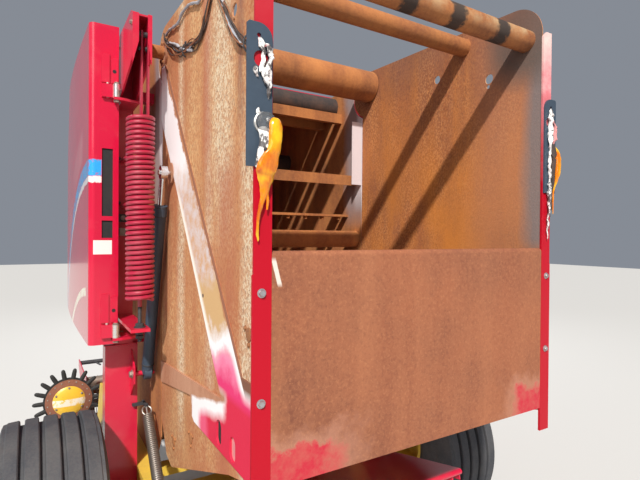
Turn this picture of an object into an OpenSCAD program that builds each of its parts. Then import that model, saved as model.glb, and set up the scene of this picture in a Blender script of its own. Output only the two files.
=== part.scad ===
// Round baler for large bales, drawn by a tractor, after a fire.
// Millimetres. +Z up, +Y forward to the hitch, +X right, origin on the ground at the middle.

/* [Overall] */
// Length from the tail lamps to the front of the hitch
overall_l = 4330; // [4200:10:4500]
// Inside width of the bale chamber
chamber_w = 1180; // [1120:10:1240]
// Thickness of the chamber's side sheets
sheet_t = 6; // [4:1:8]
// Running clearance of a pin in its bore
fit_gap = 0.05; // [0.02:0.01:0.08]

/* [Wheels] */
// Outer radius of a tyre
tyre_r = 500; // [480:5:520]
// Width of a tyre
tyre_w = 400; // [360:5:410]
// Bead radius of a tyre
bead_r = 205; // [195:5:215]
// Number of circumferential ribs on a tyre
rib_n = 5; // [3:2:7]
// Width of a groove between ribs
groove_w = 16; // [10:1:22]
// Depth of a groove between ribs
groove_h = 22; // [12:1:30]
// Distance from the middle of the machine to the middle of a tyre
track_half = 1055; // [1045:5:1100]
// Distance of the axle ahead of the tailgate's rear face
axle_ahead = 1200; // [1150:10:1230]
// Radius of a wheel spindle
spindle_r = 30; // [26:1:36]

/* [Tailgate] */
// Depth of the tailgate from its rear face to the split with the front frame
gate_depth = 1190; // [1150:5:1220]
// Top edge of the tailgate sides at the pivot
gate_top_z = 2790; // [2750:5:2830]
// How far that edge falls toward the rear ears
ear_drop = 40; // [20:5:60]
// Height of the tailgate's top edge over its pivot
nose_r = 130; // [115:5:150]
// Distance of the tailgate pivot behind the split
pivot_back = 40; // [30:5:60]
// Radius of the tailgate pivot pins
pivot_pin_r = 30; // [26:1:34]
// Radius of the rounded rear ears
ear_r = 130; // [90:5:150]
// Width of the upright rear flanges
flange_w = 52; // [46:1:60]
// Thickness of the rear flanges
flange_t = 8; // [6:1:10]
// Top edge of the rear panel
panel_top_z = 1764; // [1700:4:1820]
// Bottom edge of the rear panel
panel_low_z = 1130; // [1100:5:1180]
// Width of the long diagonal strap on a tailgate side
strap_w = 200; // [170:5:215]
// Thickness of the straps on a tailgate side
strap_t = 8; // [5:1:9]

/* [Side shields] */
// Outer face of a shield, from the middle of the machine
shield_x = 912; // [900:2:925]
// Length of a shield
shield_l = 1480; // [1400:10:1540]
// Bottom edge of a shield
shield_low_z = 1300; // [1280:5:1340]
// How far a shield's top edge lies below the tailgate's
shield_drop = 25; // [0:5:60]
// Thickness of a shield's shell
shield_t = 5; // [4:1:8]
// Radius of a shield hinge pin
shield_pin_r = 9; // [7:0.5:11]

/* [Springs] */
// Outer radius of a tension spring
spring_r = 60; // [54:1:64]
// Number of coils of a tension spring
coil_n = 38; // [28:1:42]
// Lower end of the tension spring's coils
spring_low_z = 1515; // [1500:5:1560]
// Upper end of the tension spring's coils
spring_top_z = 2315; // [2280:5:2340]

/* [Lift cylinders] */
// Radius of a cylinder barrel
barrel_r = 27; // [24:1:28]
// Radius of a cylinder rod
rod_r = 14; // [11:1:16]
// Radius of a cylinder pin
eye_pin_r = 12; // [10:1:14]
// Stroke of a cylinder
stroke = 520; // [480:10:540]

/* [Pickup] */
// Width of the pickup between its end plates
pickup_w = 1600; // [1540:20:1640]
// Radius of the circle that the tine tips run on
tine_r = 280; // [265:5:290]
// Outer radius of the stripper bands
band_r = 195; // [185:5:205]
// Number of tine bars on the reel
bar_n = 4; // [3:1:6]
// Spacing of the tines
tine_pitch = 66; // [60:1:75]
// Outer radius of a gathering wheel's fingers
gather_r = 215; // [200:5:220]
// Number of fingers on a gathering wheel
finger_n = 18; // [14:1:20]

/* [Hitch] */
// Height of the hitch
hitch_z = 480; // [440:10:520]
// Radius of the hole in the hitch clevis
hitch_hole_r = 17; // [14:0.5:20]
// Height of the free space in the clevis
clevis_gap = 60; // [50:1:70]
// Radius of the splined bore in the driveline yoke
spline_r = 17.5; // [15:0.5:20]

/* [Hidden] */
$fn = 48;

// How far the lamps stand out behind the tailgate's rear face
lamp_reach = 45;
rear_y = lamp_reach - overall_l / 2;
front_y = overall_l / 2;
// Distance forward of the tailgate's rear face, turned into a place on the Y axis
function ahead(d) = rear_y + d;

in_x = chamber_w / 2;
out_x = in_x + sheet_t;
split_gap = 10;
split_y = ahead(gate_depth);
pivot_y = split_y - pivot_back;
pivot_z = gate_top_z - nose_r;
gate_rear_z = gate_top_z - ear_drop;
shield_top_z = gate_top_z - shield_drop;
axle_y = ahead(axle_ahead);

// Chassis: rails lie on the axle beam, the walls stand between the rails
beam_half = 55;
rail_low_z = tyre_r + beam_half;
rail_w = 80;
rail_h = 90;
rail_top_z = rail_low_z + rail_h;
rail_out_x = out_x + rail_w;
cross_h = 45;
wall_low_z = rail_low_z + cross_h;
rail_rear_y = ahead(1000);
rail_front_y = ahead(2300);
side_bar_w = 60;
nose_beam_y = ahead(2560);
nose_beam_d = 80;
nose_beam_low_z = 950;
nose_beam_top_z = 1040;

// Corners of the front outline, from the top forward and down
face_y = nose_beam_y + 60;
hood_crown = [face_y - 470, gate_top_z - 50];
hood_rise = hood_crown[1] - nose_beam_top_z;
hood_brow = [face_y - 200, nose_beam_top_z + hood_rise * 74 / 85];
hood_knee = [face_y, nose_beam_top_z + hood_rise * 49 / 85];
chin = [face_y, nose_beam_top_z + 210];
post_top_z = hood_crown[1];

// Lanes beside the wall, from the inside outward: cylinder, then spring
lane_gap = 14;
lane_x = out_x + lane_gap + barrel_r;
spring_x = lane_x + barrel_r + 11 + spring_r;
post_y = split_y + 170;
post_d = 90;
post_in_x = lane_x + barrel_r + 36;
post_w = 78;
post_out_x = post_in_x + post_w;
tyre_in_x = track_half - tyre_w / 2;
leg_out_x = tyre_in_x - 30;
leg_top_z = 1260;
plate_t = 8;

// Tension spring
spring_y = ahead(990);
coil_pitch = (spring_top_z - spring_low_z) / coil_n;
wire_r = coil_pitch * 0.505;
spring_seat_z = 1395;
spring_seat_t = 14;
spring_rod_r = 9;
strap_pin_z = post_top_z - 80;
strap_pin_r = 12;

// Lift cylinder, from the pin on the leg to the pin on the tailgate
foot_pin_y = ahead(1320);
foot_pin_z = 1120;
eye_y = ahead(1000);
eye_z = 2080;
cyl_len = norm([eye_y - foot_pin_y, eye_z - foot_pin_z]);
cyl_tilt = atan2(foot_pin_y - eye_y, eye_z - foot_pin_z);
eye_r = 30;
barrel_len = cyl_len - 150;

// Shield hinge line
hinge_x = 800;
hinge_y = ahead(1200);
knuckle_r = 15;
knuckle_h = 60;
shield_rear_y = hinge_y + 25;
hinge_low_z = shield_low_z + 20;
hinge_top_z = post_top_z - 320;
arm_t = 12;

// Pickup
reel_y = ahead(2790);
reel_z = 530;
reel_shaft_r = 32;
pickup_pin_y = ahead(2235);
pickup_pin_z = 700;
pickup_pin_r = 16;
arm_x = rail_out_x + 6;
end_x = pickup_w / 2;
end_t = 8;
gather_x = 915;
gather_y = ahead(2440);
gather_z = 690;
gather_pin_r = 14;

// Driveline
pto_z = 1060;
gearbox_y = nose_beam_y + nose_beam_d;
gearbox_d = 260;
stub_r = 19;
guard_r = 52;

red = [0.80, 0.06, 0.20];
rust = [0.62, 0.36, 0.20];
pale_rust = [0.75, 0.58, 0.40];
yellow = [0.92, 0.80, 0.22];
dark = [0.20, 0.25, 0.32];
steel = [0.58, 0.57, 0.55];
black = [0.12, 0.12, 0.13];
silver = [0.78, 0.78, 0.76];
amber = [0.95, 0.62, 0.05];

// A plate that stands in the YZ plane, from x0 outward by t
module plate_yz(x0, t) {
    translate([x0, 0, 0])
        rotate([90, 0, 90])
            linear_extrude(t)
                children();
}

// A round bar along X
module bar_x(x0, x1, y, z, r) {
    translate([x0, y, z])
        rotate([0, 90, 0])
            cylinder(r = r, h = x1 - x0);
}

// A box given by its low and high corners
module box(low, high) {
    translate(low)
        cube(high - low);
}

// A square beam between two points
module beam(p, q, w, h) {
    v = q - p;
    flat = norm([v[0], v[1]]);
    translate(p)
        rotate([0, -atan2(v[2], flat), atan2(v[1], v[0])])
            translate([0, -w / 2, -h / 2])
                cube([norm(v), w, h]);
}

// What is drawn for the right side, or its mirror image on the left
module on_side(s) {
    if (s < 0)
        mirror([1, 0, 0])
            children();
    else
        children();
}

// Front frame

// Outline of a front side wall; the hood and the front panel follow its edge
module wall_outline() {
    polygon([
        [split_y + split_gap, wall_low_z + 230],
        [split_y + 140, wall_low_z + 40],
        [rail_front_y - 120, wall_low_z],
        [face_y - 200, wall_low_z + 180],
        chin,
        hood_knee,
        hood_brow,
        hood_crown,
        [split_y + split_gap, hood_crown[1]]
    ]);
}

module chassis() {
    color(yellow) {
        for (s = [-1, 1])
            on_side(s)
                chassis_side();
        box([-out_x, rail_rear_y, rail_low_z], [out_x, rail_rear_y + 60, rail_low_z + cross_h]);
        box([-out_x, post_y, rail_low_z], [out_x, post_y + 80, rail_low_z + cross_h]);
        box([-out_x, rail_front_y - 80, rail_low_z], [out_x, rail_front_y, rail_low_z + cross_h]);
        box([-out_x - side_bar_w, nose_beam_y, nose_beam_low_z],
            [out_x + side_bar_w, nose_beam_y + nose_beam_d, nose_beam_top_z]);
    }
}

// One side of the chassis: rail, upright, upper bar, gusset and pickup pin
module chassis_side() {
    box([out_x, rail_rear_y, rail_low_z], [rail_out_x, rail_front_y, rail_top_z]);
    box([out_x, rail_front_y - 100, rail_top_z], [out_x + side_bar_w, rail_front_y - 20, nose_beam_low_z]);
    box([out_x, rail_front_y - 100, nose_beam_low_z], [out_x + side_bar_w, nose_beam_y, nose_beam_top_z]);
    box([rail_out_x, post_y + post_d, rail_low_z], [leg_out_x, post_y + post_d + 90, rail_top_z]);
    plate_yz(leg_out_x - 12, 12)
        polygon([
            [post_y + post_d, rail_low_z],
            [post_y + post_d + 330, rail_low_z],
            [post_y + post_d + 330, rail_low_z + 60],
            [post_y + post_d + 110, 1030],
            [post_y + post_d, 1030]
        ]);
    bar_x(out_x + side_bar_w, arm_x + 20, pickup_pin_y, pickup_pin_z, pickup_pin_r);
}

module axle() {
    color(yellow) {
        box([-leg_out_x, axle_y - beam_half, tyre_r - beam_half],
            [leg_out_x, axle_y + beam_half, tyre_r + beam_half]);
        bar_x(-leg_out_x - 20, leg_out_x + 20, axle_y, tyre_r, spindle_r + 14);
        bar_x(-track_half - 60, track_half + 60, axle_y, tyre_r, spindle_r);
    }
}

// Drawbar: two arms from the nose beam that meet in one tongue
tongue_w = 120;
tongue_rear = [0, ahead(3080), 880];
clevis_l = 150;
drawbar_front_y = front_y - clevis_l;
cradle_y = drawbar_front_y - 275;
arm_rear_x = 500;
arm_rear_z = nose_beam_low_z + 50;
arm_front_y = tongue_rear[1] + 70;
// Height of the tongue's middle at a place along it
function tongue_z(y) =
    hitch_z - 20 + (tongue_rear[2] - hitch_z + 20) * (front_y - y) / (front_y - tongue_rear[1]);
module drawbar() {
    color(yellow) {
        difference() {
            union() {
                for (s = [-1, 1]) {
                    beam([s * arm_rear_x, gearbox_y - 20, arm_rear_z],
                         [s * 50, arm_front_y, tongue_z(arm_front_y)], 70, 90);
                    box([s * arm_rear_x - 75, gearbox_y, nose_beam_low_z - 20],
                        [s * arm_rear_x + 75, gearbox_y + 14, nose_beam_top_z + 20]);
                }
                beam(tongue_rear, [0, front_y, hitch_z - 20], tongue_w, tongue_w);
            }
            box([-900, gearbox_y - 200, arm_rear_z - 300], [900, gearbox_y, arm_rear_z + 200]);
            box([-200, drawbar_front_y, hitch_z - 280], [200, front_y + 200, hitch_z + 420]);
        }
        cradle();
        jack_bracket();
    }
}

// Post on the tongue whose fork holds the driveline when it is unhitched
module cradle() {
    fork_r = guard_r + 6;
    foot_z = tongue_z(cradle_y) + 32;
    translate([0, cradle_y + 10, 0])
        rotate([90, 0, 0])
            linear_extrude(10)
                difference() {
                    union() {
                        translate([0, pto_z])
                            circle(fork_r + 10);
                        translate([-25, foot_z])
                            square([50, pto_z - fork_r - foot_z]);
                    }
                    translate([0, pto_z])
                        circle(fork_r);
                    translate([-200, pto_z + 10])
                        square([400, 200]);
                }
}

jack_x = tongue_w / 2 + 62;
jack_y = drawbar_front_y - 475;
jack_r = 30;
module jack_bracket() {
    z = tongue_z(jack_y);
    box([tongue_w / 2 - 10, jack_y - 35, z - 38], [jack_x - jack_r, jack_y + 35, z + 42]);
}

// Parking jack: outer tube, inner tube, round foot and crank
module jack() {
    color(dark) {
        translate([jack_x, jack_y, 260])
            cylinder(r = jack_r, h = 640);
        translate([jack_x, jack_y, 8])
            cylinder(r = jack_r - 7, h = 300);
        translate([jack_x, jack_y, 0])
            cylinder(r = 100, h = 10);
        translate([jack_x, jack_y, 0])
            cylinder(r = 45, h = 40);
        bar_x(jack_x, jack_x + 150, jack_y, 875, 9);
        translate([jack_x + 142, jack_y, 870])
            cylinder(r = 9, h = 90);
    }
}

module hitch_clevis() {
    ear_t = 25;
    ear_half = 45;
    pin_y = front_y - ear_half;
    color(dark)
        difference() {
            union() {
                box([-55, drawbar_front_y, hitch_z - 75], [55, drawbar_front_y + 45, hitch_z + 75]);
                for (z = [hitch_z - clevis_gap / 2 - ear_t, hitch_z + clevis_gap / 2]) {
                    box([-ear_half, drawbar_front_y + 40, z], [ear_half, pin_y, z + ear_t]);
                    translate([0, pin_y, z])
                        cylinder(r = ear_half, h = ear_t);
                }
            }
            translate([0, pin_y, hitch_z - 100])
                cylinder(r = hitch_hole_r, h = 200);
        }
}

// Side wall with a lip turned inward along its rear edge
module wall(s) {
    lip_y = split_y + split_gap;
    color(rust)
        on_side(s) {
            plate_yz(in_x, sheet_t)
                difference() {
                    wall_outline();
                    translate([pivot_y, pivot_z])
                        circle(nose_r + split_gap);
                }
            box([in_x - 70, lip_y, 2120], [in_x + 1, lip_y + 5, 2500]);
        }
}

// Cross members between the walls, seen through the open tailgate:
// y ahead of the tailgate's rear face, z, depth and height of each bar
cross_bars = [
    [1420, hood_crown[1] - 200, 40, 60],
    [1640, hood_crown[1] - 200, 40, 60],
    [1250, 2120, 8, 60],
    [1250, 2172, 60, 8],
    [1340, 1930, 50, 14]
];
pivot_tube_r = 88;
module frame_beams() {
    color(pale_rust) {
        bar_x(-in_x + 6, in_x - 6, pivot_y - 30, pivot_z + 35, pivot_tube_r);
        bar_x(-post_in_x - plate_t, post_in_x + plate_t, pivot_y, pivot_z, pivot_pin_r);
        for (b = cross_bars)
            box([-in_x, ahead(b[0]), b[1]], [in_x, ahead(b[0] + b[2]), b[1] + b[3]]);
        bar_x(-in_x, in_x, split_y + split_gap + 62, 1790, 50);
        for (x = [-in_x + 40:120:in_x - 40])
            translate([x, ahead(1365), 1912])
                cylinder(r = 13, h = 24);
    }
}

// Rolls of the chamber's front half: y ahead of the rear face, z and radius
front_rolls = [
    [1440, 790, 70],
    [1760, 730, 60],
    [2080, 790, 70],
    [2440, chin[1] + 80, 60],
    [2480, hood_knee[1] - 220, 60],
    [2180, hood_brow[1] - 140, 60],
    [1530, hood_crown[1] - 80, 66]
];
module chamber_rolls() {
    color(dark)
        for (r = front_rolls)
            bar_x(-in_x, in_x, ahead(r[0]), r[1], r[2]);
}

// Sheet over the walls' edges, cut to the heights given
cover_t = 5;
module cover_strip(low_z, top_z, from_y) {
    plate_yz(-out_x, 2 * out_x)
        intersection() {
            difference() {
                offset(delta = cover_t)
                    wall_outline();
                wall_outline();
            }
            translate([from_y, low_z])
                square([2000, top_z - low_z]);
        }
}

module hood() {
    color(red)
        cover_strip(hood_knee[1] - 40, gate_top_z + 100, split_y + 370);
}

module front_panel() {
    color(red)
        cover_strip(nose_beam_top_z + 30, hood_knee[1] - 40, face_y - 120);
}

// Housing of the net wrap in front of the chamber
module net_box() {
    box_low_z = nose_beam_top_z + hood_rise * 37 / 170;
    box_h = hood_rise * 6 / 17;
    box_d = 340;
    back_y = face_y + cover_t;
    color(red)
        plate_yz(-out_x, 2 * out_x)
            polygon([
                [back_y, box_low_z],
                [back_y + box_d - 90, box_low_z],
                [back_y + box_d, box_low_z + box_h * 0.18],
                [back_y + box_d, box_low_z + box_h * 0.63],
                [back_y + box_d - 140, box_low_z + box_h * 0.93],
                [back_y, box_low_z + box_h]
            ]);
}

// Posts, springs, ramp and drives

// Post beside the wall: leg, spring housing, hinge arms and the cylinder's foot pin
module post(s) {
    color(red)
        on_side(s) {
            difference() {
                post_solid();
                bar_x(post_in_x - 10, post_in_x + plate_t + 1, pivot_y, pivot_z, pivot_pin_r + fit_gap);
                translate([spring_x, spring_y, spring_seat_z - 1])
                    cylinder(r = spring_rod_r + 0.3, h = spring_seat_t + 2);
            }
            for (z = [hinge_low_z, hinge_top_z])
                translate([hinge_x, hinge_y, z])
                    cylinder(r = shield_pin_r, h = arm_t + knuckle_h + 14);
        }
}

housing_low_z = post_top_z - 260;
housing_top_z = post_top_z + 6;
housing_rear_y = spring_y - 55;
module post_solid() {
    box([post_in_x, post_y, leg_top_z], [post_out_x, post_y + post_d, post_top_z]);
    box([rail_out_x, post_y, rail_low_z], [leg_out_x, post_y + post_d, leg_top_z]);
    for (z = [leg_top_z, 1900, housing_low_z])
        box([out_x, post_y + 25, z], [post_in_x, post_y + 75, z + 50]);
    for (x = [post_in_x, post_out_x - plate_t])
        plate_yz(x, plate_t)
            housing_outline();
    translate([0, housing_rear_y + plate_t, 0])
        rotate([90, 0, 0])
            linear_extrude(plate_t) {
                housing_lip(post_in_x + 1, spring_x - 18);
                housing_lip(post_out_x - 1, spring_x + 18);
            }
    box([post_in_x, housing_rear_y + 40, post_top_z - 8], [post_out_x, post_y + 5, post_top_z]);
    box([post_in_x, housing_rear_y + 10, spring_seat_z], [post_out_x, post_y + 5, spring_seat_z + spring_seat_t]);
    for (z = [hinge_low_z, hinge_top_z])
        translate([0, 0, z])
            linear_extrude(arm_t)
                polygon([
                    [post_in_x, post_y + 5],
                    [post_in_x, hinge_y + 10],
                    [hinge_x - 26, hinge_y - 16],
                    [hinge_x + 14, hinge_y - 16],
                    [hinge_x + 14, hinge_y + 12],
                    [post_out_x, hinge_y + 18],
                    [post_out_x, post_y + 5]
                ]);
    plate_yz(post_in_x, plate_t)
        polygon([
            [post_y + 5, foot_pin_z - 120],
            [post_y + 5, foot_pin_z + 120],
            [foot_pin_y - 40, foot_pin_z + 40],
            [foot_pin_y - 40, foot_pin_z - 40]
        ]);
    bar_x(out_x + lane_gap - 4, post_in_x + 2, foot_pin_y, foot_pin_z, eye_pin_r);
}

// Side plate of the spring housing, with a pointed top
module housing_outline() {
    polygon([
        [housing_rear_y, housing_low_z + 60],
        [housing_rear_y, post_top_z - 14],
        [housing_rear_y + 40, housing_top_z],
        [post_y + 5, housing_top_z],
        [post_y + 5, housing_low_z - 60]
    ]);
}

// Rear lip of the spring housing, from a side plate in to the spring's straps
module housing_lip(edge_x, strap_x) {
    polygon([
        [edge_x, post_top_z - 14],
        [edge_x, post_top_z - 222],
        [strap_x, post_top_z - 130],
        [strap_x, post_top_z - 14]
    ]);
}

// Tension spring: close coils, its lower rod with a nut, and two straps up to a pin
module tension_spring(s) {
    color(red)
        on_side(s) {
            translate([spring_x, spring_y, 0]) {
                rotate_extrude()
                    union() {
                        for (i = [0:coil_n - 1])
                            translate([spring_r - wire_r, spring_low_z + (i + 0.5) * coil_pitch])
                                circle(wire_r);
                    }
                for (z = [spring_low_z + coil_pitch, spring_top_z - 2 * coil_pitch])
                    translate([0, 0, z])
                        cylinder(r = spring_r - wire_r, h = coil_pitch);
                translate([0, 0, spring_seat_z - 46])
                    cylinder(r = spring_rod_r, h = spring_low_z + 2 * coil_pitch - spring_seat_z + 46);
                translate([0, 0, spring_seat_z - 16])
                    cylinder(r = 18, h = 16, $fn = 6);
            }
            for (x = [spring_x - 14, spring_x + 6])
                box([x, spring_y - 14, spring_top_z - 1.5 * coil_pitch],
                    [x + 8, spring_y + 14, strap_pin_z + 20]);
            bar_x(post_in_x + plate_t, post_out_x - plate_t, spring_y, strap_pin_z, strap_pin_r);
        }
}

// Bale ramp under the tailgate
ramp_y = rail_rear_y - 22;
ramp_z = 620;
ramp_r = 22;
ramp_half = 470;
ramp_l = 700;
ramp_rise = 13;
module ramp() {
    color(red) {
        bar_x(-rail_out_x, rail_out_x, ramp_y, ramp_z, ramp_r);
        translate([0, ramp_y, ramp_z])
            rotate([-ramp_rise, 0, 0])
                ramp_sheet();
    }
}

// Sheet of the ramp with its two side ribs and a rolled rear edge
module ramp_sheet() {
    box([-ramp_half, -ramp_l, 12], [ramp_half, 0, 17]);
    bar_x(-ramp_half, ramp_half, -ramp_l, 5, 12);
    for (s = [-1, 1])
        on_side(s) {
            box([ramp_half - 50, -ramp_l + 5, -30], [ramp_half - 42, -10, 14]);
            box([ramp_half - 5, -ramp_l + 5, -30], [ramp_half, -10, 14]);
        }
}

// Close-wound spring from the leg down to the ramp's tube, one on each side
ramp_spring_x = 645;
ramp_spring_r = 26;
ramp_spring_low = [ramp_spring_x, ramp_y, ramp_z + ramp_r + 3.8];
ramp_spring_top = [ramp_spring_x, ahead(1300), 960];
ramp_coil_n = 34;
module ramp_springs() {
    color(steel)
        for (s = [-1, 1])
            on_side(s)
                ramp_spring();
}

module ramp_spring() {
    v = ramp_spring_top - ramp_spring_low;
    len = norm(v);
    hook_l = 45;
    pitch = (len - 2 * hook_l) / ramp_coil_n;
    translate(ramp_spring_low)
        rotate([-atan2(v[1], v[2]), 0, 0]) {
            rotate_extrude()
                union() {
                    translate([0, hook_l])
                        square([ramp_spring_r - pitch / 2, len - 2 * hook_l]);
                    for (i = [0:ramp_coil_n - 1])
                        translate([ramp_spring_r - pitch / 2, hook_l + (i + 0.5) * pitch])
                            circle(pitch * 0.505);
                }
            cylinder(r = 5, h = len);
        }
    box([ramp_spring_x - 6, ramp_spring_top[1] - 8, ramp_spring_top[2] - 8],
        [ramp_spring_x + 6, post_y + 25, ramp_spring_top[2] + 4]);
    box([ramp_spring_x - 6, post_y - 20, ramp_spring_top[2] - 8],
        [post_in_x + 0, post_y, ramp_spring_top[2] + 4]);
}

module gearbox() {
    shaft_y = gearbox_y + 90;
    color(dark) {
        box([-110, gearbox_y, 950], [110, gearbox_y + gearbox_d - 30, 1210]);
        translate([0, gearbox_y + gearbox_d - 31, pto_z])
            rotate([-90, 0, 0])
                cylinder(r = 70, h = 31);
        translate([0, gearbox_y + gearbox_d - 5, pto_z])
            rotate([-90, 0, 0])
                cylinder(r = stub_r, h = 95);
        bar_x(-out_x, -100, shaft_y, 1130, 34);
        bar_x(-chain_out_x - 6, -out_x + 2, shaft_y, 1130, 20);
    }
}

// Drive chains on the left side: two loops, each round two sprockets
// columns: y ahead of the rear face, z, sprocket radius, of the first then the second
chain_lane_x = 640;
chain_w = 14;
chain_out_x = chain_lane_x + chain_w;
chain_loops = [
    [2730, 1130, 70, 2170, 1230, 110, 640],
    [2170, 1230, 70, 1760, 1900, 95, 616]
];
module drive_chain() {
    color(dark)
        mirror([1, 0, 0]) {
            for (c = chain_loops)
                plate_yz(c[6], chain_w)
                    chain_loop([ahead(c[0]), c[1]], c[2], [ahead(c[3]), c[4]], c[5]);
            for (c = chain_loops)
                difference() {
                    bar_x(out_x, c[6] + chain_w + 8, ahead(c[3]), c[4], 26);
                    bar_x(out_x - 10, out_x, ahead(c[3]), c[4], 30);
                }
        }
}

// Two sprockets with teeth inside one loop of chain
module chain_loop(a, ra, b, rb) {
    difference() {
        hull() {
            translate(a) circle(ra + 7);
            translate(b) circle(rb + 7);
        }
        hull() {
            translate(a) circle(ra - 5);
            translate(b) circle(rb - 5);
        }
    }
    for (w = [[a, ra], [b, rb]])
        translate(w[0])
            difference() {
                circle(w[1] - 3);
                circle(20.05);
                for (i = [0:4])
                    rotate(i * 72)
                        translate([w[1] * 0.62, 0])
                            circle(w[1] * 0.16);
            }
}

// Driveline: guard tube, front yoke with its splined bore, rear yoke on the gearbox stub
driveline_rear_y = gearbox_y + gearbox_d + 8;
driveline_front_y = drawbar_front_y - 55;
module driveline() {
    color(black)
        difference() {
            union() {
                translate([0, driveline_rear_y, pto_z])
                    rotate([-90, 0, 0]) {
                        cylinder(r1 = 80, r2 = guard_r, h = 130);
                        translate([0, 0, 129])
                            cylinder(r = guard_r, h = driveline_front_y - driveline_rear_y - 250);
                    }
                translate([0, driveline_front_y - 122, pto_z])
                    rotate([-90, 0, 0])
                        cylinder(r1 = guard_r, r2 = 70, h = 60);
                translate([0, driveline_front_y - 63, pto_z])
                    rotate([-90, 0, 0])
                        cylinder(r = 34, h = 63);
            }
            translate([0, driveline_rear_y - 1, pto_z])
                rotate([-90, 0, 0])
                    cylinder(r = stub_r + fit_gap, h = 90);
            translate([0, driveline_front_y - 61, pto_z])
                rotate([-90, 0, 0])
                    cylinder(r = spline_r, h = 62);
        }
}

// Tailgate

module gate_outline() {
    union() {
        polygon([
            [rear_y + flange_t, panel_low_z - 10],
            [ahead(290), 1045],
            [ahead(1000), 770],
            [ahead(1090), 790],
            [split_y, 930],
            [split_y, pivot_z],
            [pivot_y, gate_top_z],
            [rear_y + flange_t + ear_r, gate_rear_z],
            [rear_y + flange_t, gate_rear_z - ear_r]
        ]);
        translate([rear_y + flange_t + ear_r, gate_rear_z - ear_r])
            circle(ear_r);
        translate([pivot_y, pivot_z])
            circle(nose_r);
    }
}

strap_foot = [ahead(236), panel_low_z + 175];
strap_top_z = pivot_z - 55;
strap_slope = (ahead(1254) - strap_foot[0]) / (strap_top_z - strap_foot[1]);
strap_half = strap_w / 2 * sqrt(1 + pow(strap_slope, 2));
boss_r = 62;
slot_w = 46;
slots = [[360, panel_low_z + 26, 84], [236, panel_low_z + 18, 76]];
// Holes: y ahead of the rear face, z and radius
side_holes = [
    [574, gate_rear_z - 162, 20],
    [261, gate_rear_z - 246, 21],
    [266, gate_rear_z - 279, 9]
];
module gate_side(s) {
    color(pale_rust)
        on_side(s)
            difference() {
                union() {
                    plate_yz(in_x, sheet_t)
                        gate_outline();
                    plate_yz(out_x, strap_t) {
                        gate_strap();
                        gate_arm();
                    }
                    bar_x(out_x, out_x + strap_t + 3, pivot_y, pivot_z, boss_r);
                    bar_x(out_x, out_x + 10, eye_y, eye_z, 44);
                }
                bar_x(in_x - 10, out_x + 50, pivot_y, pivot_z, pivot_pin_r + fit_gap);
                for (h = side_holes)
                    bar_x(in_x - 10, out_x + 50, ahead(h[0]), h[1], h[2]);
                for (q = slots)
                    slot_cut(ahead(q[0]), q[1], q[2] - slot_w);
            }
}

// Upright slot with round ends
module slot_cut(y, z, h) {
    box([in_x - 10, y - slot_w / 2, z - h / 2], [out_x + 50, y + slot_w / 2, z + h / 2]);
    for (e = [z - h / 2, z + h / 2])
        bar_x(in_x - 10, out_x + 50, y, e, slot_w / 2);
}

// Long strap from under the pivot to the lower rear
function strap_y(z) = strap_foot[0] + strap_slope * (z - strap_foot[1]);
module gate_strap() {
    front = split_y - 5;
    polygon([
        [strap_y(strap_top_z) - strap_half, strap_top_z],
        [front, strap_top_z],
        [front, strap_foot[1] + (front - strap_half - strap_foot[0]) / strap_slope],
        [strap_y(panel_low_z + 140) + strap_half, panel_low_z + 140],
        [rear_y + flange_t + 60, panel_low_z + 140],
        [strap_y(panel_low_z + 255) - strap_half, panel_low_z + 255]
    ]);
}

// Thick lower plate that joins the strap, the ridge and the two slots
module gate_arm() {
    polygon([
        [rear_y + flange_t, panel_low_z],
        [rear_y + flange_t, panel_low_z + 255],
        [strap_y(panel_low_z + 255) - strap_half + 12, panel_low_z + 255],
        [strap_y(panel_low_z + 145) + strap_half - 10, panel_low_z + 145],
        [split_y - 15, panel_low_z + 77],
        [split_y - 15, panel_low_z - 22],
        [ahead(690), panel_low_z + 54],
        [ahead(664), panel_low_z + 20],
        [ahead(664), panel_low_z - 18],
        [ahead(636), panel_low_z - 32],
        [ahead(130), panel_low_z - 32]
    ]);
}

module gate_flange(s) {
    low_x = in_x - 2;
    step_z = 1700;
    color(red)
        on_side(s)
            translate([0, rear_y + flange_t, 0])
                rotate([90, 0, 0])
                    linear_extrude(flange_t)
                        difference() {
                            polygon([
                                [low_x, panel_low_z - 90],
                                [low_x + flange_w + 3, panel_low_z - 90],
                                [low_x + flange_w + 3, step_z],
                                [low_x + flange_w, step_z + 4],
                                [low_x + flange_w, gate_rear_z - ear_r],
                                [low_x + 20, gate_rear_z - ear_r],
                                [low_x, gate_rear_z - ear_r - 20]
                            ]);
                            for (z = [panel_top_z - 110, panel_low_z + 234])
                                translate([low_x + flange_w * 0.56, z])
                                    circle(8);
                        }
}

// Rear panel: sheet with a rolled top edge and a lip turned forward at the foot
module gate_panel() {
    half = in_x - 2;
    roll_r = 15;
    color(rust) {
        box([-half, rear_y + 1, panel_low_z], [half, rear_y + 6, panel_top_z - roll_r]);
        bar_x(-half, half, rear_y + roll_r + 1, panel_top_z - roll_r, roll_r);
        box([-half, rear_y + 1, panel_low_z], [half, rear_y + 46, panel_low_z + 5]);
    }
}

// Cross tubes of the tailgate: y ahead of the rear face, z and radius
gate_tubes = [
    [80, gate_rear_z - 145, 43],
    [404, gate_rear_z - 62, 40]
];
module gate_beams() {
    color(rust)
        for (t = gate_tubes)
            bar_x(-in_x, in_x, ahead(t[0]), t[1], t[2]);
}

gate_roll_places = [
    [130, 1520, 52],
    [190, 1320, 52],
    [420, 1120, 52],
    [700, 1010, 52],
    [960, 900, 60]
];
module gate_rolls() {
    color(dark)
        for (r = gate_roll_places)
            bar_x(-in_x, in_x, ahead(r[0]), r[1], r[2]);
}

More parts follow.
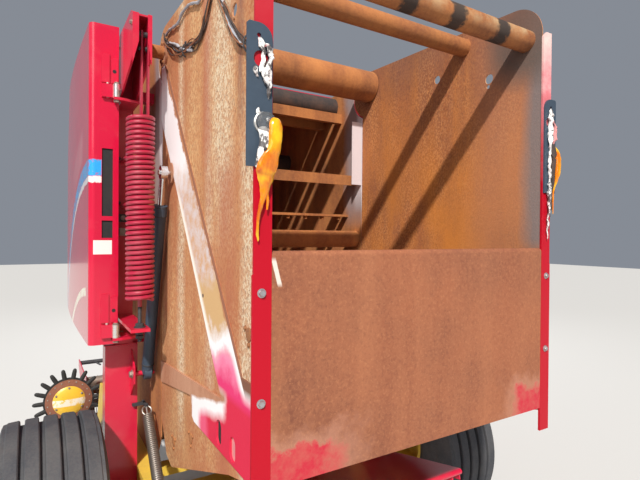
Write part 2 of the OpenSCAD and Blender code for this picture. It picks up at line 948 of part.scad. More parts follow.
// Lamp bracket with a clear round lens and a lamp whose amber lens has run down
module lamp(s) {
    low_x = in_x + 2;
    plate_w = 72;
    lens_x = low_x + plate_w - 26;
    on_side(s) {
        color(dark)
            translate([0, rear_y, 0])
                rotate([90, 0, 0])
                    linear_extrude(6)
                        difference() {
                            hull() {
                                translate([low_x, 1983])
                                    square([plate_w, 300]);
                                translate([low_x + plate_w - 40, 2315])
                                    circle(40);
                                translate([low_x, 2335])
                                    square([20, 20]);
                            }
                            translate([low_x + 40, 2255])
                                circle(22);
                        }
        color(silver)
            translate([lens_x, rear_y - 5, 2105])
                rotate([90, 0, 0])
                    cylinder(r = 26, h = lamp_reach - 5);
        color(amber)
            translate([0, rear_y - 6, 0])
                rotate([90, 0, 0])
                    linear_extrude(22)
                        polygon([
                            [lens_x - 26, 2090],
                            [lens_x + 20, 2090],
                            [lens_x + 8, 1990],
                            [lens_x - 14, 1850],
                            [lens_x - 22, 1850],
                            [lens_x - 30, 1990]
                        ]);
    }
}

// Lift cylinders

// From the foot pin up to the rod's eye, along the cylinder's own axis
module along_cylinder() {
    translate([0, foot_pin_y, foot_pin_z])
        rotate([cyl_tilt, 0, 0])
            children();
}

module barrel(s) {
    gland_l = 50;
    color(black)
        on_side(s)
            along_cylinder()
                difference() {
                    union() {
                        translate([lane_x, 0, 0])
                            cylinder(r = barrel_r, h = barrel_len);
                        translate([lane_x, 0, barrel_len - gland_l])
                            cylinder(r = barrel_r + 3, h = gland_l);
                        bar_x(lane_x - 16, lane_x + 16, 0, 0, eye_r + 4);
                    }
                    bar_x(lane_x - 60, lane_x + 60, 0, 0, eye_pin_r + fit_gap);
                    translate([lane_x, 0, barrel_len - stroke - 130])
                        cylinder(r = rod_r + fit_gap, h = stroke + 131);
                }
}

module rod(s) {
    color(silver)
        on_side(s)
            along_cylinder() {
                translate([lane_x, 0, barrel_len - stroke - 120])
                    cylinder(r = rod_r, h = cyl_len - eye_r + 8 - barrel_len + stroke + 120);
                bar_x(lane_x - 14, lane_x + 14, 0, cyl_len, eye_r);
                bar_x(out_x + 10.5, lane_x + 22, 0, cyl_len, eye_pin_r);
            }
}

// Side shields

// Plan of a shield's outer face, from the inner end of its rear flange forward
module shield_plan() {
    flange_in = hinge_x - 13;
    front = shield_rear_y + shield_l;
    corner_r = 26;
    bulge = 14;
    difference() {
        union() {
            translate([flange_in, shield_rear_y])
                square([shield_x - flange_in - corner_r, corner_r]);
            translate([shield_x - corner_r, shield_rear_y + corner_r])
                circle(corner_r);
            polygon(concat(
                [[flange_in, shield_rear_y + corner_r - 1]],
                [for (i = [0:8]) [
                    shield_x + bulge * sin(i * 22.5),
                    shield_rear_y + corner_r - 1 + (shield_l - 2 * corner_r) * i / 8
                ]],
                [[shield_x - 50, front], [flange_in, front]]
            ));
        }
    }
}

module shield_side_outline() {
    front = shield_rear_y + shield_l;
    polygon([
        [shield_rear_y - 1, shield_low_z],
        [front - 60, shield_low_z],
        [front + 5, shield_low_z + 90],
        [front + 5, shield_top_z - 480],
        [front - 330, shield_top_z],
        [shield_rear_y - 1, shield_top_z]
    ]);
}

module shield(s) {
    color(red)
        on_side(s) {
            difference() {
                intersection() {
                    translate([0, 0, shield_low_z - 10])
                        linear_extrude(shield_top_z - shield_low_z + 20)
                            difference() {
                                shield_plan();
                                offset(delta = -shield_t)
                                    shield_plan();
                                translate([hinge_x - 60, shield_rear_y + shield_t])
                                    square([60 - 13 + shield_t + 1, shield_l - 2 * shield_t]);
                            }
                    plate_yz(500, 600)
                        shield_side_outline();
                }
                for (z = [[1890, 2200], [1790, 1870]])
                    box([hinge_x + 12, shield_rear_y - 5, z[0]], [hinge_x + 58, shield_rear_y + shield_t + 1, z[1]]);
            }
            for (z = [hinge_low_z, hinge_top_z])
                translate([0, 0, z + arm_t + 0.3])
                    shield_knuckle();
        }
}

// Hinge barrel with the leaf that carries the shield
module shield_knuckle() {
    difference() {
        union() {
            translate([hinge_x, hinge_y, 0])
                cylinder(r = knuckle_r, h = knuckle_h);
            box([hinge_x, hinge_y + knuckle_r - 7, 0], [hinge_x + 60, hinge_y + knuckle_r + 1, knuckle_h]);
            box([hinge_x + 10, hinge_y + knuckle_r - 1, 0], [hinge_x + 60, shield_rear_y + 1, knuckle_h]);
        }
        translate([hinge_x, hinge_y, -1])
            cylinder(r = shield_pin_r + fit_gap, h = knuckle_h + 2);
    }
}

// Pickup

tube_y = ahead(2530);
tube_z = 770;
tube_r = 34;
low_bar = [ahead(2560), 300];
guard_y = ahead(3060);
guard_z = 780;
stub_shaft_r = 20;
plate_gap = 6;

module pickup_frame() {
    color(red)
        for (s = [-1, 1])
            on_side(s) {
                pickup_arm();
                pickup_end();
                gather_bracket();
            }
}

module pickup_arm() {
    reach = [tube_y - pickup_pin_y, tube_z - pickup_pin_z];
    difference() {
        plate_yz(arm_x + 2, 10)
            union() {
                translate([pickup_pin_y, pickup_pin_z])
                    rotate(atan2(reach[1], reach[0]))
                        translate([0, -28])
                            square([norm(reach), 56]);
                translate([pickup_pin_y, pickup_pin_z])
                    circle(32);
                translate([tube_y, tube_z])
                    circle(tube_r + 18);
            }
        bar_x(arm_x - 40, arm_x + 40, pickup_pin_y, pickup_pin_z, pickup_pin_r + fit_gap);
        bar_x(arm_x - 40, arm_x + 40, tube_y, tube_z, tube_r + fit_gap);
    }
}

module pickup_end() {
    difference() {
        plate_yz(end_x, end_t)
            union() {
                hull() {
                    translate([reel_y, reel_z])
                        circle(band_r + 8);
                    translate(low_bar)
                        circle(28);
                }
                polygon([
                    [tube_y - 50, tube_z - 60],
                    [tube_y - 50, tube_z + 50],
                    [tube_y + 90, tube_z + 30],
                    [guard_y + 30, guard_z + 24],
                    [guard_y + 30, guard_z - 26],
                    [reel_y + 100, reel_z + 120],
                    [reel_y - 150, reel_z + 60]
                ]);
            }
        bar_x(end_x - 10, end_x + 30, reel_y, reel_z, stub_shaft_r + fit_gap);
    }
}

// Bracket and pin that carry a gathering wheel outside the pickup's end
module gather_bracket() {
    bracket_y = tube_y + 40;
    box([end_x + end_t, bracket_y, gather_z - 45], [gather_x + 30, bracket_y + 14, gather_z + 45]);
    translate([gather_x, bracket_y, gather_z])
        rotate([90, 0, 0]) {
            cylinder(r = gather_pin_r, h = bracket_y - gather_y + 18);
            cylinder(r = gather_pin_r + 8, h = bracket_y - gather_y - 42);
        }
}

tine_n = floor((pickup_w - 120) / tine_pitch);
tine_x0 = -(tine_n - 1) * tine_pitch / 2;
tine_t = 6;
band_w = tine_pitch - tine_t - 16;
band_t = 3;

// Curved bands that the crop slides over, with the tube and the bar that hold them
module stripper_bands() {
    color(rust) {
        bar_x(-end_x, end_x, tube_y, tube_z, tube_r);
        bar_x(-end_x, end_x, low_bar[0], low_bar[1], 14);
        for (i = [0:tine_n])
            plate_yz(tine_x0 + (i - 0.5) * tine_pitch - band_w / 2, band_w)
                band_outline();
    }
}

module band_outline() {
    top = [reel_y, reel_z + band_r];
    foot = [reel_y, reel_z - band_r];
    difference() {
        translate([reel_y, reel_z])
            circle(band_r);
        translate([reel_y, reel_z])
            circle(band_r - band_t);
        translate([reel_y - 400, reel_z - 400])
            square([400, 800]);
    }
    polygon([top, [top[0] + 1, top[1] - band_t], [tube_y + 10, tube_z + tube_r - 20], [tube_y + 10, tube_z + tube_r - 12]]);
    polygon([foot, [foot[0] + 1, foot[1] + band_t], low_bar + [-4, 4], low_bar - [4, 0]]);
}

module windguard() {
    rod_n = 12;
    pitch = (pickup_w - 200) / (rod_n - 1);
    color(black) {
        bar_x(-end_x, end_x, guard_y, guard_z, 16);
        for (i = [0:rod_n - 1])
            beam([i * pitch - pickup_w / 2 + 100, guard_y, guard_z],
                 [i * pitch - pickup_w / 2 + 100, ahead(2640), guard_z + 74], 9, 9);
    }
}

// Reel: shaft, discs, tine bars and tines
bar_circle_r = 135;
module tine_reel() {
    color(steel) {
        bar_x(-end_x + plate_gap, end_x - plate_gap, reel_y, reel_z, reel_shaft_r);
        bar_x(-end_x - end_t, end_x + end_t, reel_y, reel_z, stub_shaft_r);
        for (x = [-end_x + 14, -8, end_x - 30])
            bar_x(x, x + 16, reel_y, reel_z, bar_circle_r + 18);
        for (a = [0:bar_n - 1])
            translate([0, reel_y, reel_z])
                rotate([a * 360 / bar_n + 20, 0, 0]) {
                    bar_x(-end_x + 14, end_x - 14, 0, bar_circle_r, 13);
                    for (i = [0:tine_n - 1])
                        box([tine_x0 + i * tine_pitch - tine_t / 2, -4, bar_circle_r],
                            [tine_x0 + i * tine_pitch + tine_t / 2, 4, tine_r]);
                }
    }
}

// Gathering wheel: dished yellow hub, rusty ring, rubber fingers
module gather_wheel(s) {
    on_side(s)
        translate([gather_x, gather_y, gather_z])
            rotate([90, 0, 0])
                gather_wheel_body();
}

module gather_wheel_body() {
    ring_r = 145;
    difference() {
        union() {
            color(yellow)
                rotate_extrude()
                    polygon([
                        [0, -28], [34, -28], [40, -6], [100, -2], [104, 8],
                        [92, 14], [60, 30], [0, 34]
                    ]);
            color(rust)
                rotate_extrude()
                    polygon([[98, -8], [ring_r, -8], [ring_r, 8], [98, 8]]);
            color(black)
                for (i = [0:finger_n - 1])
                    rotate([0, 0, i * 360 / finger_n])
                        translate([ring_r - 22, 0, -14])
                            linear_extrude(28)
                                polygon([[0, -13], [0, 13], [gather_r - ring_r + 20, 9],
                                         [gather_r - ring_r + 22, -5]]);
        }
        translate([0, 0, -40])
            cylinder(r = gather_pin_r + fit_gap, h = 60);
    }
}

// Wheels

// A ring about the wheel's own axis, its profile given as radius and place along the axle
module turned(s) {
    on_side(s)
        translate([track_half, axle_y, tyre_r])
            rotate([0, 90, 0])
                rotate_extrude($fn = 96)
                    children();
}

module rim(s) {
    half = tyre_w / 2 - 50;
    disc_x = 40;
    color(yellow)
        turned(s)
            difference() {
                union() {
                    polygon([
                        [bead_r - 22, -half], [bead_r - fit_gap, -half], [bead_r - fit_gap, -half + 30],
                        [bead_r - 20, -half + 60], [bead_r - 20, half - 60],
                        [bead_r - fit_gap, half - 30], [bead_r - fit_gap, half], [bead_r - 22, half],
                        [bead_r - 32, half - 60], [bead_r - 32, disc_x + 14],
                        [spindle_r + 60, disc_x + 14], [spindle_r + 40, disc_x + 30],
                        [spindle_r + 20, disc_x + 60], [0, disc_x + 60],
                        [0, -60], [spindle_r + 24, -60], [spindle_r + 24, disc_x - 6],
                        [bead_r - 50, disc_x - 6], [bead_r - 32, disc_x - 20], [bead_r - 32, -half + 60]
                    ]);
                }
                translate([0, -80])
                    square([spindle_r + fit_gap, 80 + 60 + 6]);
            }
}

module tyre(s) {
    half = tyre_w / 2;
    shoulder = 46;
    rib_pitch = (tyre_w - 40) / rib_n;
    color(black)
        turned(s)
            difference() {
                polygon([
                    [bead_r, -half + 60], [bead_r + 40, -half + 12], [bead_r + 120, -half],
                    [tyre_r - shoulder, -half + 6], [tyre_r - 8, -half + 22],
                    [tyre_r, -half + 44], [tyre_r, half - 44],
                    [tyre_r - 8, half - 22], [tyre_r - shoulder, half - 6],
                    [bead_r + 120, half], [bead_r + 40, half - 12], [bead_r, half - 60]
                ]);
                for (i = [1:rib_n - 1])
                    translate([tyre_r - groove_h, -half + 20 + i * rib_pitch - groove_w / 2])
                        square([groove_h + 1, groove_w]);
            }
}

chassis();
axle();
drawbar();
hitch_clevis();
jack();
wall(-1);  // wall_left
wall(1);  // wall_right
frame_beams();
chamber_rolls();
hood();
net_box();
front_panel();
post(-1);  // post_left
post(1);  // post_right
tension_spring(-1);  // tension_spring_left
tension_spring(1);  // tension_spring_right
ramp();
ramp_springs();
gearbox();
drive_chain();
driveline();
gate_side(-1);  // gate_side_left
gate_side(1);  // gate_side_right
gate_flange(-1);  // gate_flange_left
gate_flange(1);  // gate_flange_right
gate_panel();
gate_beams();
gate_rolls();
lamp(-1);  // lamp_left
lamp(1);  // lamp_right
barrel(-1);  // barrel_left
barrel(1);  // barrel_right
rod(-1);  // rod_left
rod(1);  // rod_right
shield(-1);  // shield_left
shield(1);  // shield_right
pickup_frame();
stripper_bands();
windguard();
tine_reel();
gather_wheel(-1);  // gather_wheel_left
gather_wheel(1);  // gather_wheel_right
rim(-1);  // rim_left
rim(1);  // rim_right
tyre(-1);  // tyre_left
tyre(1);  // tyre_right
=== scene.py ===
import math

import bmesh
import bpy
from mathutils import Matrix, Vector
from mathutils import noise as lumps
from mathutils.geometry import tessellate_polygon


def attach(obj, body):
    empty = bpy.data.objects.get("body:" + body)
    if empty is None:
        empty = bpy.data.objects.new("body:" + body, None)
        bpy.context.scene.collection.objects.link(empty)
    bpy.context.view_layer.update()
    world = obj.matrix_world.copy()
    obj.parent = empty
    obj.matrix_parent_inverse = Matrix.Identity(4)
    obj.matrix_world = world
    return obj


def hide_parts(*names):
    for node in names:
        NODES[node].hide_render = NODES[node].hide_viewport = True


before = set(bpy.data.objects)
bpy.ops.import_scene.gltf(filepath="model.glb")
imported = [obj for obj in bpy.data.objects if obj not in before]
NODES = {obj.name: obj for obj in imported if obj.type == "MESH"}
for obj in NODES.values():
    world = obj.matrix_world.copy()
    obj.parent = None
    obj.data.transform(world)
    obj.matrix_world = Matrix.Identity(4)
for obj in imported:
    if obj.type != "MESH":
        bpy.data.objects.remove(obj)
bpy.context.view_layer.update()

# Blender seeds its noise from the clock unless a script does
lumps.seed_set(7)

SIDES = {"left": -1, "right": 1}
UP = (0, 0, 1)
AHEAD = Vector((0, 1, 0))
BACK = Vector((0, -1, 0))


def Y(d):
    """Millimetres ahead of the tailgate's rear face, as a place on the Y axis."""
    return (d - 2120) / 1000


# Camera: a phone held behind the left corner, fitted to the photo
CAMERA_AT = Vector((-1.1285, -3.2449, 1.8033))
CAMERA_YAW = math.radians(31.5)
CAMERA_PITCH = math.radians(-0.42)
CAMERA_ROLL = math.radians(0.415)
FOCAL_PX = 469.7
PHOTO_W = 640
SENSOR_MM = 36.0

# Places that the solids have too, in metres; those that end in _D are millimetres ahead
REAR = Y(0)
PIVOT_D, PIVOT_Z = 1150, 2.66
GATE_SIDE_X = 0.596
WHEEL_R, WHEEL_X, AXLE_Y = 0.5, 1.055, Y(1200)
POST_D, POST_X = 1360, 0.778
HINGE_X, HINGE_Y, HINGE_Z = 0.800, Y(1200), (1.320, 2.420)
SHIELD_BACK = Y(1225)
SPRING_X, SPRING_Y, COIL_R = 0.735, Y(990), 0.060
COIL_LOW, COIL_TOP = 1.515, 2.315
RAMP_SPRING_X = 0.645
GATHER_AT = (0.915, Y(2440), 0.69)
REEL_Y, REEL_Z, REEL_END = Y(2790), 0.530, 0.800
TINE_PITCH, PICKUP_W = 0.066, 1.600


def link(thing):
    """Shows an object in the scene."""
    bpy.context.scene.collection.objects.link(thing)
    return thing


def make_camera():
    data = bpy.data.cameras.new("camera")
    data.sensor_fit = "HORIZONTAL"
    data.sensor_width = SENSOR_MM
    data.lens = SENSOR_MM * FOCAL_PX / PHOTO_W
    data.clip_start = 0.02
    camera = link(bpy.data.objects.new("camera", data))
    level = Matrix.Rotation(-CAMERA_YAW, 4, "Z") @ Matrix.Rotation(math.pi / 2 + CAMERA_PITCH, 4, "X")
    camera.matrix_world = Matrix.Translation(CAMERA_AT) @ level @ Matrix.Rotation(CAMERA_ROLL, 4, "Z")
    bpy.context.scene.camera = camera


def area_light(name, at, target, size, energy, color):
    data = bpy.data.lights.new(name, "AREA")
    data.size = size
    data.energy = energy
    data.color = color
    light = link(bpy.data.objects.new(name, data))
    aim = (Vector(target) - Vector(at)).to_track_quat("-Z", "Y")
    light.matrix_world = Matrix.Translation(at) @ aim.to_matrix().to_4x4()


def make_lights():
    """The sun from behind the camera's left shoulder, a pale sky and two soft boxes."""
    world = bpy.data.worlds.new("studio")
    world.use_nodes = True
    bpy.context.scene.world = world
    back = world.node_tree.nodes["Background"]
    back.inputs["Color"].default_value = (0.80, 0.87, 1.0, 1)
    back.inputs["Strength"].default_value = 0.30
    sun = bpy.data.lights.new("sun", "SUN")
    sun.energy = 4.6
    sun.angle = math.radians(2.0)
    sun.color = (1.0, 0.96, 0.90)
    toward = Vector((0.50, 0.72, -0.80))
    aim = toward.to_track_quat("-Z", "Y").to_matrix()
    link(bpy.data.objects.new("sun", sun)).matrix_world = aim.to_4x4()
    area_light("fill", (4.0, 6.0, 4.5), (0, 0.5, 1.2), 5.0, 170, (0.95, 0.97, 1.0))
    area_light("key", (-4.5, -5.0, 5.0), (0, -0.5, 1.2), 4.0, 90, (1.0, 0.98, 0.95))
    bpy.context.scene.view_settings.view_transform = "Standard"


def make_floor():
    bpy.ops.mesh.primitive_plane_add(size=60)
    floor = bpy.context.object
    floor.name = "floor"
    material = bpy.data.materials.new("floor")
    material.use_nodes = True
    shader = material.node_tree.nodes["Principled BSDF"]
    shader.inputs["Base Color"].default_value = (0.62, 0.61, 0.59, 1)
    shader.inputs["Roughness"].default_value = 0.9
    floor.data.materials.append(material)


# Material graphs

SOCKETS = {"metallic": "Metallic", "coat": "Coat Weight", "coat_rough": "Coat Roughness",
           "specular": "Specular IOR Level", "transmission": "Transmission Weight"}


class Graph:
    """A material under construction, with short calls for its nodes."""

    def __init__(self, name):
        self.material = bpy.data.materials.new(name)
        self.material.use_nodes = True
        self.tree = self.material.node_tree
        self.shader = self.tree.nodes["Principled BSDF"]
        self.place = self.tree.nodes.new("ShaderNodeTexCoord").outputs["Object"]

    def put(self, socket, value):
        if isinstance(value, bpy.types.NodeSocket):
            self.tree.links.new(value, socket)
        elif isinstance(value, (tuple, list)) and socket.type == "RGBA" and len(value) == 3:
            socket.default_value = (*value, 1)
        else:
            socket.default_value = value

    def node(self, kind, **values):
        """A new node, with values for its inputs by name."""
        node = self.tree.nodes.new(kind)
        for name, value in values.items():
            self.put(node.inputs[name.replace("_", " ")], value)
        return node

    def stretched(self, scale):
        return self.node("ShaderNodeMapping", Vector=self.place, Scale=scale).outputs["Vector"]

    def noise(self, scale, detail=4.0, rough=0.55, stretch=None, shift=0.0):
        """Noise from 0 to 1; shift picks another pattern."""
        node = self.tree.nodes.new("ShaderNodeTexNoise")
        node.noise_dimensions = "4D"
        place = self.stretched(stretch) if stretch else self.place
        for name, value in (("Vector", place), ("W", shift), ("Scale", scale), ("Detail", detail),
                            ("Roughness", rough)):
            self.put(node.inputs[name], value)
        return node.outputs["Fac"]

    def ramp(self, fac, low, high):
        """Nothing below low and one above high, or the reverse where high is the lower."""
        node = self.node("ShaderNodeMapRange", Value=fac, From_Min=low, From_Max=high)
        return node.outputs["Result"]

    def spots(self, low, high, *look, **more):
        """Noise cut to patches between two of its levels."""
        return self.ramp(self.noise(*look, **more), low, high)

    def math(self, kind, a, b=0.0, c=0.0):
        node = self.tree.nodes.new("ShaderNodeMath")
        node.operation = kind
        for socket, value in zip(node.inputs, (a, b, c)):
            self.put(socket, value)
        return node.outputs[0]

    def times(self, a, b):
        return self.math("MULTIPLY", a, b)

    def plus(self, a, b):
        return self.math("ADD", a, b)

    def minus(self, a, b):
        return self.math("SUBTRACT", a, b)

    def most(self, a, b):
        return self.math("MAXIMUM", a, b)

    def scaled(self, value, factor, offset=0.0):
        return self.math("MULTIPLY_ADD", value, factor, offset)

    def squares(self, a, b):
        """Square of the distance that two sides make."""
        return self.plus(self.math("POWER", a, 2.0), self.math("POWER", b, 2.0))

    def mix(self, fac, a, b):
        node = self.tree.nodes.new("ShaderNodeMix")
        node.data_type = "RGBA"
        for index, value in (("Factor", fac), (6, a), (7, b)):
            self.put(node.inputs[index], value)
        return node.outputs[2]

    def layer(self, under, over, mask, strength):
        """One colour over another where a mask is, as strong as told."""
        return self.mix(self.times(mask, strength), under, over)

    def band(self, value, low, high, soft):
        """One between two values, falling to nothing outside them."""
        rise = self.ramp(value, low - soft, low + soft)
        return self.times(rise, self.ramp(value, high + soft, high - soft))

    def axis(self, which):
        node = self.tree.nodes.new("ShaderNodeSeparateXYZ")
        self.put(node.inputs[0], self.place)
        return node.outputs[which]

    def finish(self, colour, rough, height, strength, distance, **more):
        """Gives the shader its colour, roughness, bump and further values, and returns the material."""
        self.put(self.shader.inputs["Base Color"], colour)
        self.put(self.shader.inputs["Roughness"], rough)
        for name, value in more.items():
            self.put(self.shader.inputs[SOCKETS[name]], value)
        bump = self.node("ShaderNodeBump", Strength=strength, Distance=distance, Height=height)
        self.put(self.shader.inputs["Normal"], bump.outputs["Normal"])
        return self.material


PAINT_RED = (0.58, 0.004, 0.040)
PAINT_PINK = (0.80, 0.30, 0.33)
DUSTY_RED = (0.62, 0.22, 0.20)
ASH_WHITE = (0.80, 0.74, 0.66)
BURNT_PALE = (0.88, 0.86, 0.87)
RUST = (0.40, 0.135, 0.045)
RUST_DARK = (0.15, 0.052, 0.026)
RUST_BRIGHT = (0.62, 0.25, 0.07)


def rust_colour(g, base, dark, bright, streak):
    """Layers of rust: broad patches, running streaks, grain and pits."""
    broad = g.spots(0.38, 0.66, 2.2, 5, 0.6)
    runs = g.spots(0.42, 0.68, 9.0, 5, 0.62, stretch=(1.0, 1.0, 0.09), shift=3.0)
    fine = g.spots(0.35, 0.75, 60.0, 6, 0.7, shift=7.0)
    pits = g.spots(0.60, 0.72, 150.0, 3, 0.6, shift=9.0)
    colour = g.mix(broad, base, dark)
    colour = g.layer(colour, bright, runs, streak)
    colour = g.layer(colour, bright, fine, 0.45)
    return g.layer(colour, dark, pits, 0.5)


def rust_material(name, base, dark, bright, streak=0.6):
    g = Graph(name)
    colour = rust_colour(g, base, dark, bright, streak)
    return g.finish(colour, 0.86, g.noise(90.0, 6, 0.7, shift=2.0), 0.35, 0.004)


def red_paint(name="red_paint"):
    g = Graph(name)
    dust = g.spots(0.45, 0.75, 5.0, 6, 0.65)
    chips = g.spots(0.66, 0.72, 38.0, 5, 0.7, shift=5.0)
    colour = g.layer(PAINT_RED, DUSTY_RED, dust, 0.22)
    colour = g.layer(colour, (0.22, 0.05, 0.04), chips, 0.55)
    return g.finish(colour, 0.34, g.noise(14.0, 3, 0.5), 0.06, 0.01, coat=0.4, coat_rough=0.12)


def coil_paint():
    """Spring paint: deep crimson with dust on the coils and bare flecks."""
    g = Graph("coil_paint")
    dust = g.spots(0.42, 0.72, 9.0, 6, 0.65, shift=2.0)
    chips = g.spots(0.63, 0.70, 70.0, 5, 0.7, shift=5.0)
    colour = g.layer((0.40, 0.012, 0.045), (0.36, 0.11, 0.13), dust, 0.5)
    colour = g.layer(colour, (0.16, 0.05, 0.05), chips, 0.7)
    return g.finish(colour, 0.42, g.noise(60.0, 4, 0.6), 0.12, 0.003, coat=0.25)


def amber_melt():
    """Amber plastic that ran: patches of deeper orange, and yellow streaks that are painted highlights."""
    g = Graph("melted_amber")
    deep_orange = g.spots(0.40, 0.62, 30.0, 4, 0.6, stretch=(1, 1, 0.35), shift=2.0)
    # Yellow streaks: painted highlights
    thin = g.spots(0.50, 0.66, 22.0, 3, 0.5, stretch=(1, 1, 0.5), shift=6.0)
    char = g.spots(0.64, 0.72, 90.0, 4, 0.65, shift=9.0)
    colour = g.mix(deep_orange, (0.86, 0.25, 0.004), (0.55, 0.10, 0.003))
    colour = g.layer(colour, (0.98, 0.58, 0.012), thin, 0.85)
    colour = g.layer(colour, (0.12, 0.03, 0.01), char, 0.6)
    return g.finish(colour, 0.16, g.noise(40.0, 3, 0.5), 0.25, 0.004, coat=0.4, coat_rough=0.05)


def white_melt():
    """White plastic that ran and charred: soot in its folds and a rosy tinge at its edges."""
    g = Graph("melted_white")
    soot = g.spots(0.49, 0.54, 48.0, 5, 0.7, stretch=(1, 1, 0.6), shift=3.0)
    rosy = g.spots(0.52, 0.66, 34.0, 4, 0.6, shift=7.0)
    colour = g.layer((0.86, 0.84, 0.82), (0.66, 0.36, 0.34), rosy, 0.5)
    colour = g.layer(colour, (0.045, 0.032, 0.034), soot, 0.92)
    return g.finish(colour, 0.34, g.noise(110.0, 5, 0.65), 0.5, 0.004, coat=0.2)


def hub_paint():
    """Hub of a gathering wheel: yellow with a pale band where its label was."""
    g = Graph("hub_paint")
    x, z = g.axis(0), g.axis(2)
    patch = g.spots(0.46, 0.74, 9.0, 6, 0.65)
    chips = g.spots(0.62, 0.70, 60.0, 5, 0.7, shift=4.0)
    colour = g.layer((0.80, 0.50, 0.04), (0.52, 0.30, 0.08), patch, 0.35)
    colour = g.layer(colour, (0.24, 0.12, 0.06), chips, 0.6)
    label = g.times(g.band(z, 0.660, 0.705, 0.002), g.spots(0.60, 0.52, 30.0, 5, 0.7, shift=8.0))
    colour = g.layer(colour, (0.80, 0.78, 0.70), label, 0.85)
    return g.finish(colour, 0.38, g.noise(60.0, 4, 0.6), 0.12, 0.003, coat=0.3)


def plain(name, colour, rough, metallic=0.0, spot=None, grain=60.0, bump=0.15, **more):
    """Paint, rubber, plastic or metal in one colour, with patches and grain of another."""
    g = Graph(name)
    spot = spot or tuple(c * 0.6 for c in colour)
    patch = g.spots(0.42, 0.72, 6.0, 6, 0.65)
    fine = g.spots(0.40, 0.80, grain, 5, 0.6, shift=4.0)
    shade = g.layer(colour, spot, patch, 0.55)
    shade = g.layer(shade, spot, fine, 0.35)
    return g.finish(shade, rough, g.noise(grain, 4, 0.6), bump, 0.003, metallic=metallic, **more)


# Pale bands down a side plate: from and to in millimetres ahead, softness, and the two heights
# between which they fade
PALE_BANDS = ((95, 205, 0.030, 2.32, 2.02), (285, 445, 0.045, 1.72, 2.10), (820, 900, 0.030, 0.90, 1.10),
              (470, 520, 0.030, 1.10, 1.30))
# A side plate's raised strap: the middle of its foot, how far it goes ahead for each metre up and
# half its depth
STRAP_D, STRAP_Z, STRAP_LEAN, STRAP_HALF = 236, 1.305, 0.7859, 0.1272
STRAP_TOP_AT = (Y(1000), 2.08)


def outer_rust(g, place, z, dots, specks, broken):
    """Outside of a side plate: speckled bands, redder patches between them and sooty runs."""
    colour = rust_colour(g, (0.50, 0.20, 0.072), (0.40, 0.145, 0.055), (0.74, 0.46, 0.22), 0.14)
    bands = 0.0
    for low, high, soft, z0, z1 in PALE_BANDS:
        bands = g.most(bands, g.times(g.band(place, Y(low), Y(high), soft), g.ramp(z, z0, z1)))
    colour = g.layer(colour, (0.78, 0.55, 0.28), dots, g.scaled(broken, 0.42, 0.10))
    colour = g.layer(colour, (0.74, 0.63, 0.45), bands, g.scaled(dots, 0.60, 0.30))
    colour = g.layer(colour, (0.22, 0.088, 0.05), specks, g.scaled(bands, 0.25, 0.45))
    smooth = g.times(g.spots(0.44, 0.60, 2.6, 4, 0.55, stretch=(1, 1, 0.5), shift=19.0),
                     g.minus(1.0, g.times(bands, 0.8)))
    colour = g.layer(colour, (0.42, 0.125, 0.05), smooth, 0.6)
    blush = g.times(g.band(place, Y(265), Y(560), 0.050), g.ramp(z, 2.10, 1.96))
    blush = g.times(blush, g.spots(0.38, 0.58, 5.0, 5, 0.65, stretch=(1, 1, 0.45), shift=41.0))
    colour = g.layer(colour, (0.41, 0.120, 0.062), blush, 0.62)
    soot = g.times(g.band(place, Y(190), Y(235), 0.018), g.ramp(z, 2.10, 2.20))
    soot = g.times(soot, g.spots(0.36, 0.60, 16.0, 5, 0.7, stretch=(1, 1, 0.2), shift=14.0))
    colour = g.layer(colour, (0.17, 0.085, 0.075), soot, 0.75)
    spill = g.times(g.band(place, Y(470), Y(565), 0.025), g.ramp(z, 1.95, 2.15))
    return g.layer(colour, (0.41, 0.12, 0.06), spill, 0.66)


def strap_paint(g, z, across, height):
    """Raised strap: white ash at the top, then rust, then pink and red paint toward its foot."""
    ragged = g.scaled(g.noise(7.0, 6, 0.68, shift=1.5), 1.5, -0.75)
    mottle = g.spots(0.40, 0.62, 26.0, 6, 0.75, shift=8.0)
    burnt = g.layer((0.66, 0.56, 0.55), (0.62, 0.34, 0.17), mottle, 0.9)
    burnt = g.mix(g.band(height, 1.50, 1.66, 0.03), burnt, (0.62, 0.39, 0.18))
    strap = g.mix(g.ramp(height, 1.98, 2.12), burnt, BURNT_PALE)
    strap = g.layer(strap, (0.90, 0.84, 0.76), g.ramp(across, 0.62, 0.84), g.ramp(z, 2.02, 1.96))
    stain = g.ramp(g.plus(across, ragged), -0.80, -0.92)
    strap = g.layer(strap, (0.47, 0.20, 0.09), stain, g.ramp(z, 1.44, 1.56))
    strap = g.mix(g.band(height, 1.425, 1.50, 0.02), strap, BURNT_PALE)
    strap = g.mix(g.ramp(height, 1.455, 1.40), strap, (0.86, 0.26, 0.42))
    strap = g.mix(g.ramp(height, 1.40, 1.33), strap, (0.74, 0.03, 0.16))
    edge = g.times(g.ramp(across, -0.60, -0.86), g.band(z, 1.33, 1.50, 0.02))
    strap = g.mix(edge, strap, BURNT_PALE)
    rim = g.times(g.ramp(across, -0.955, -0.985), g.ramp(z, 1.33, 1.36))
    return g.mix(rim, strap, (0.20, 0.085, 0.05))


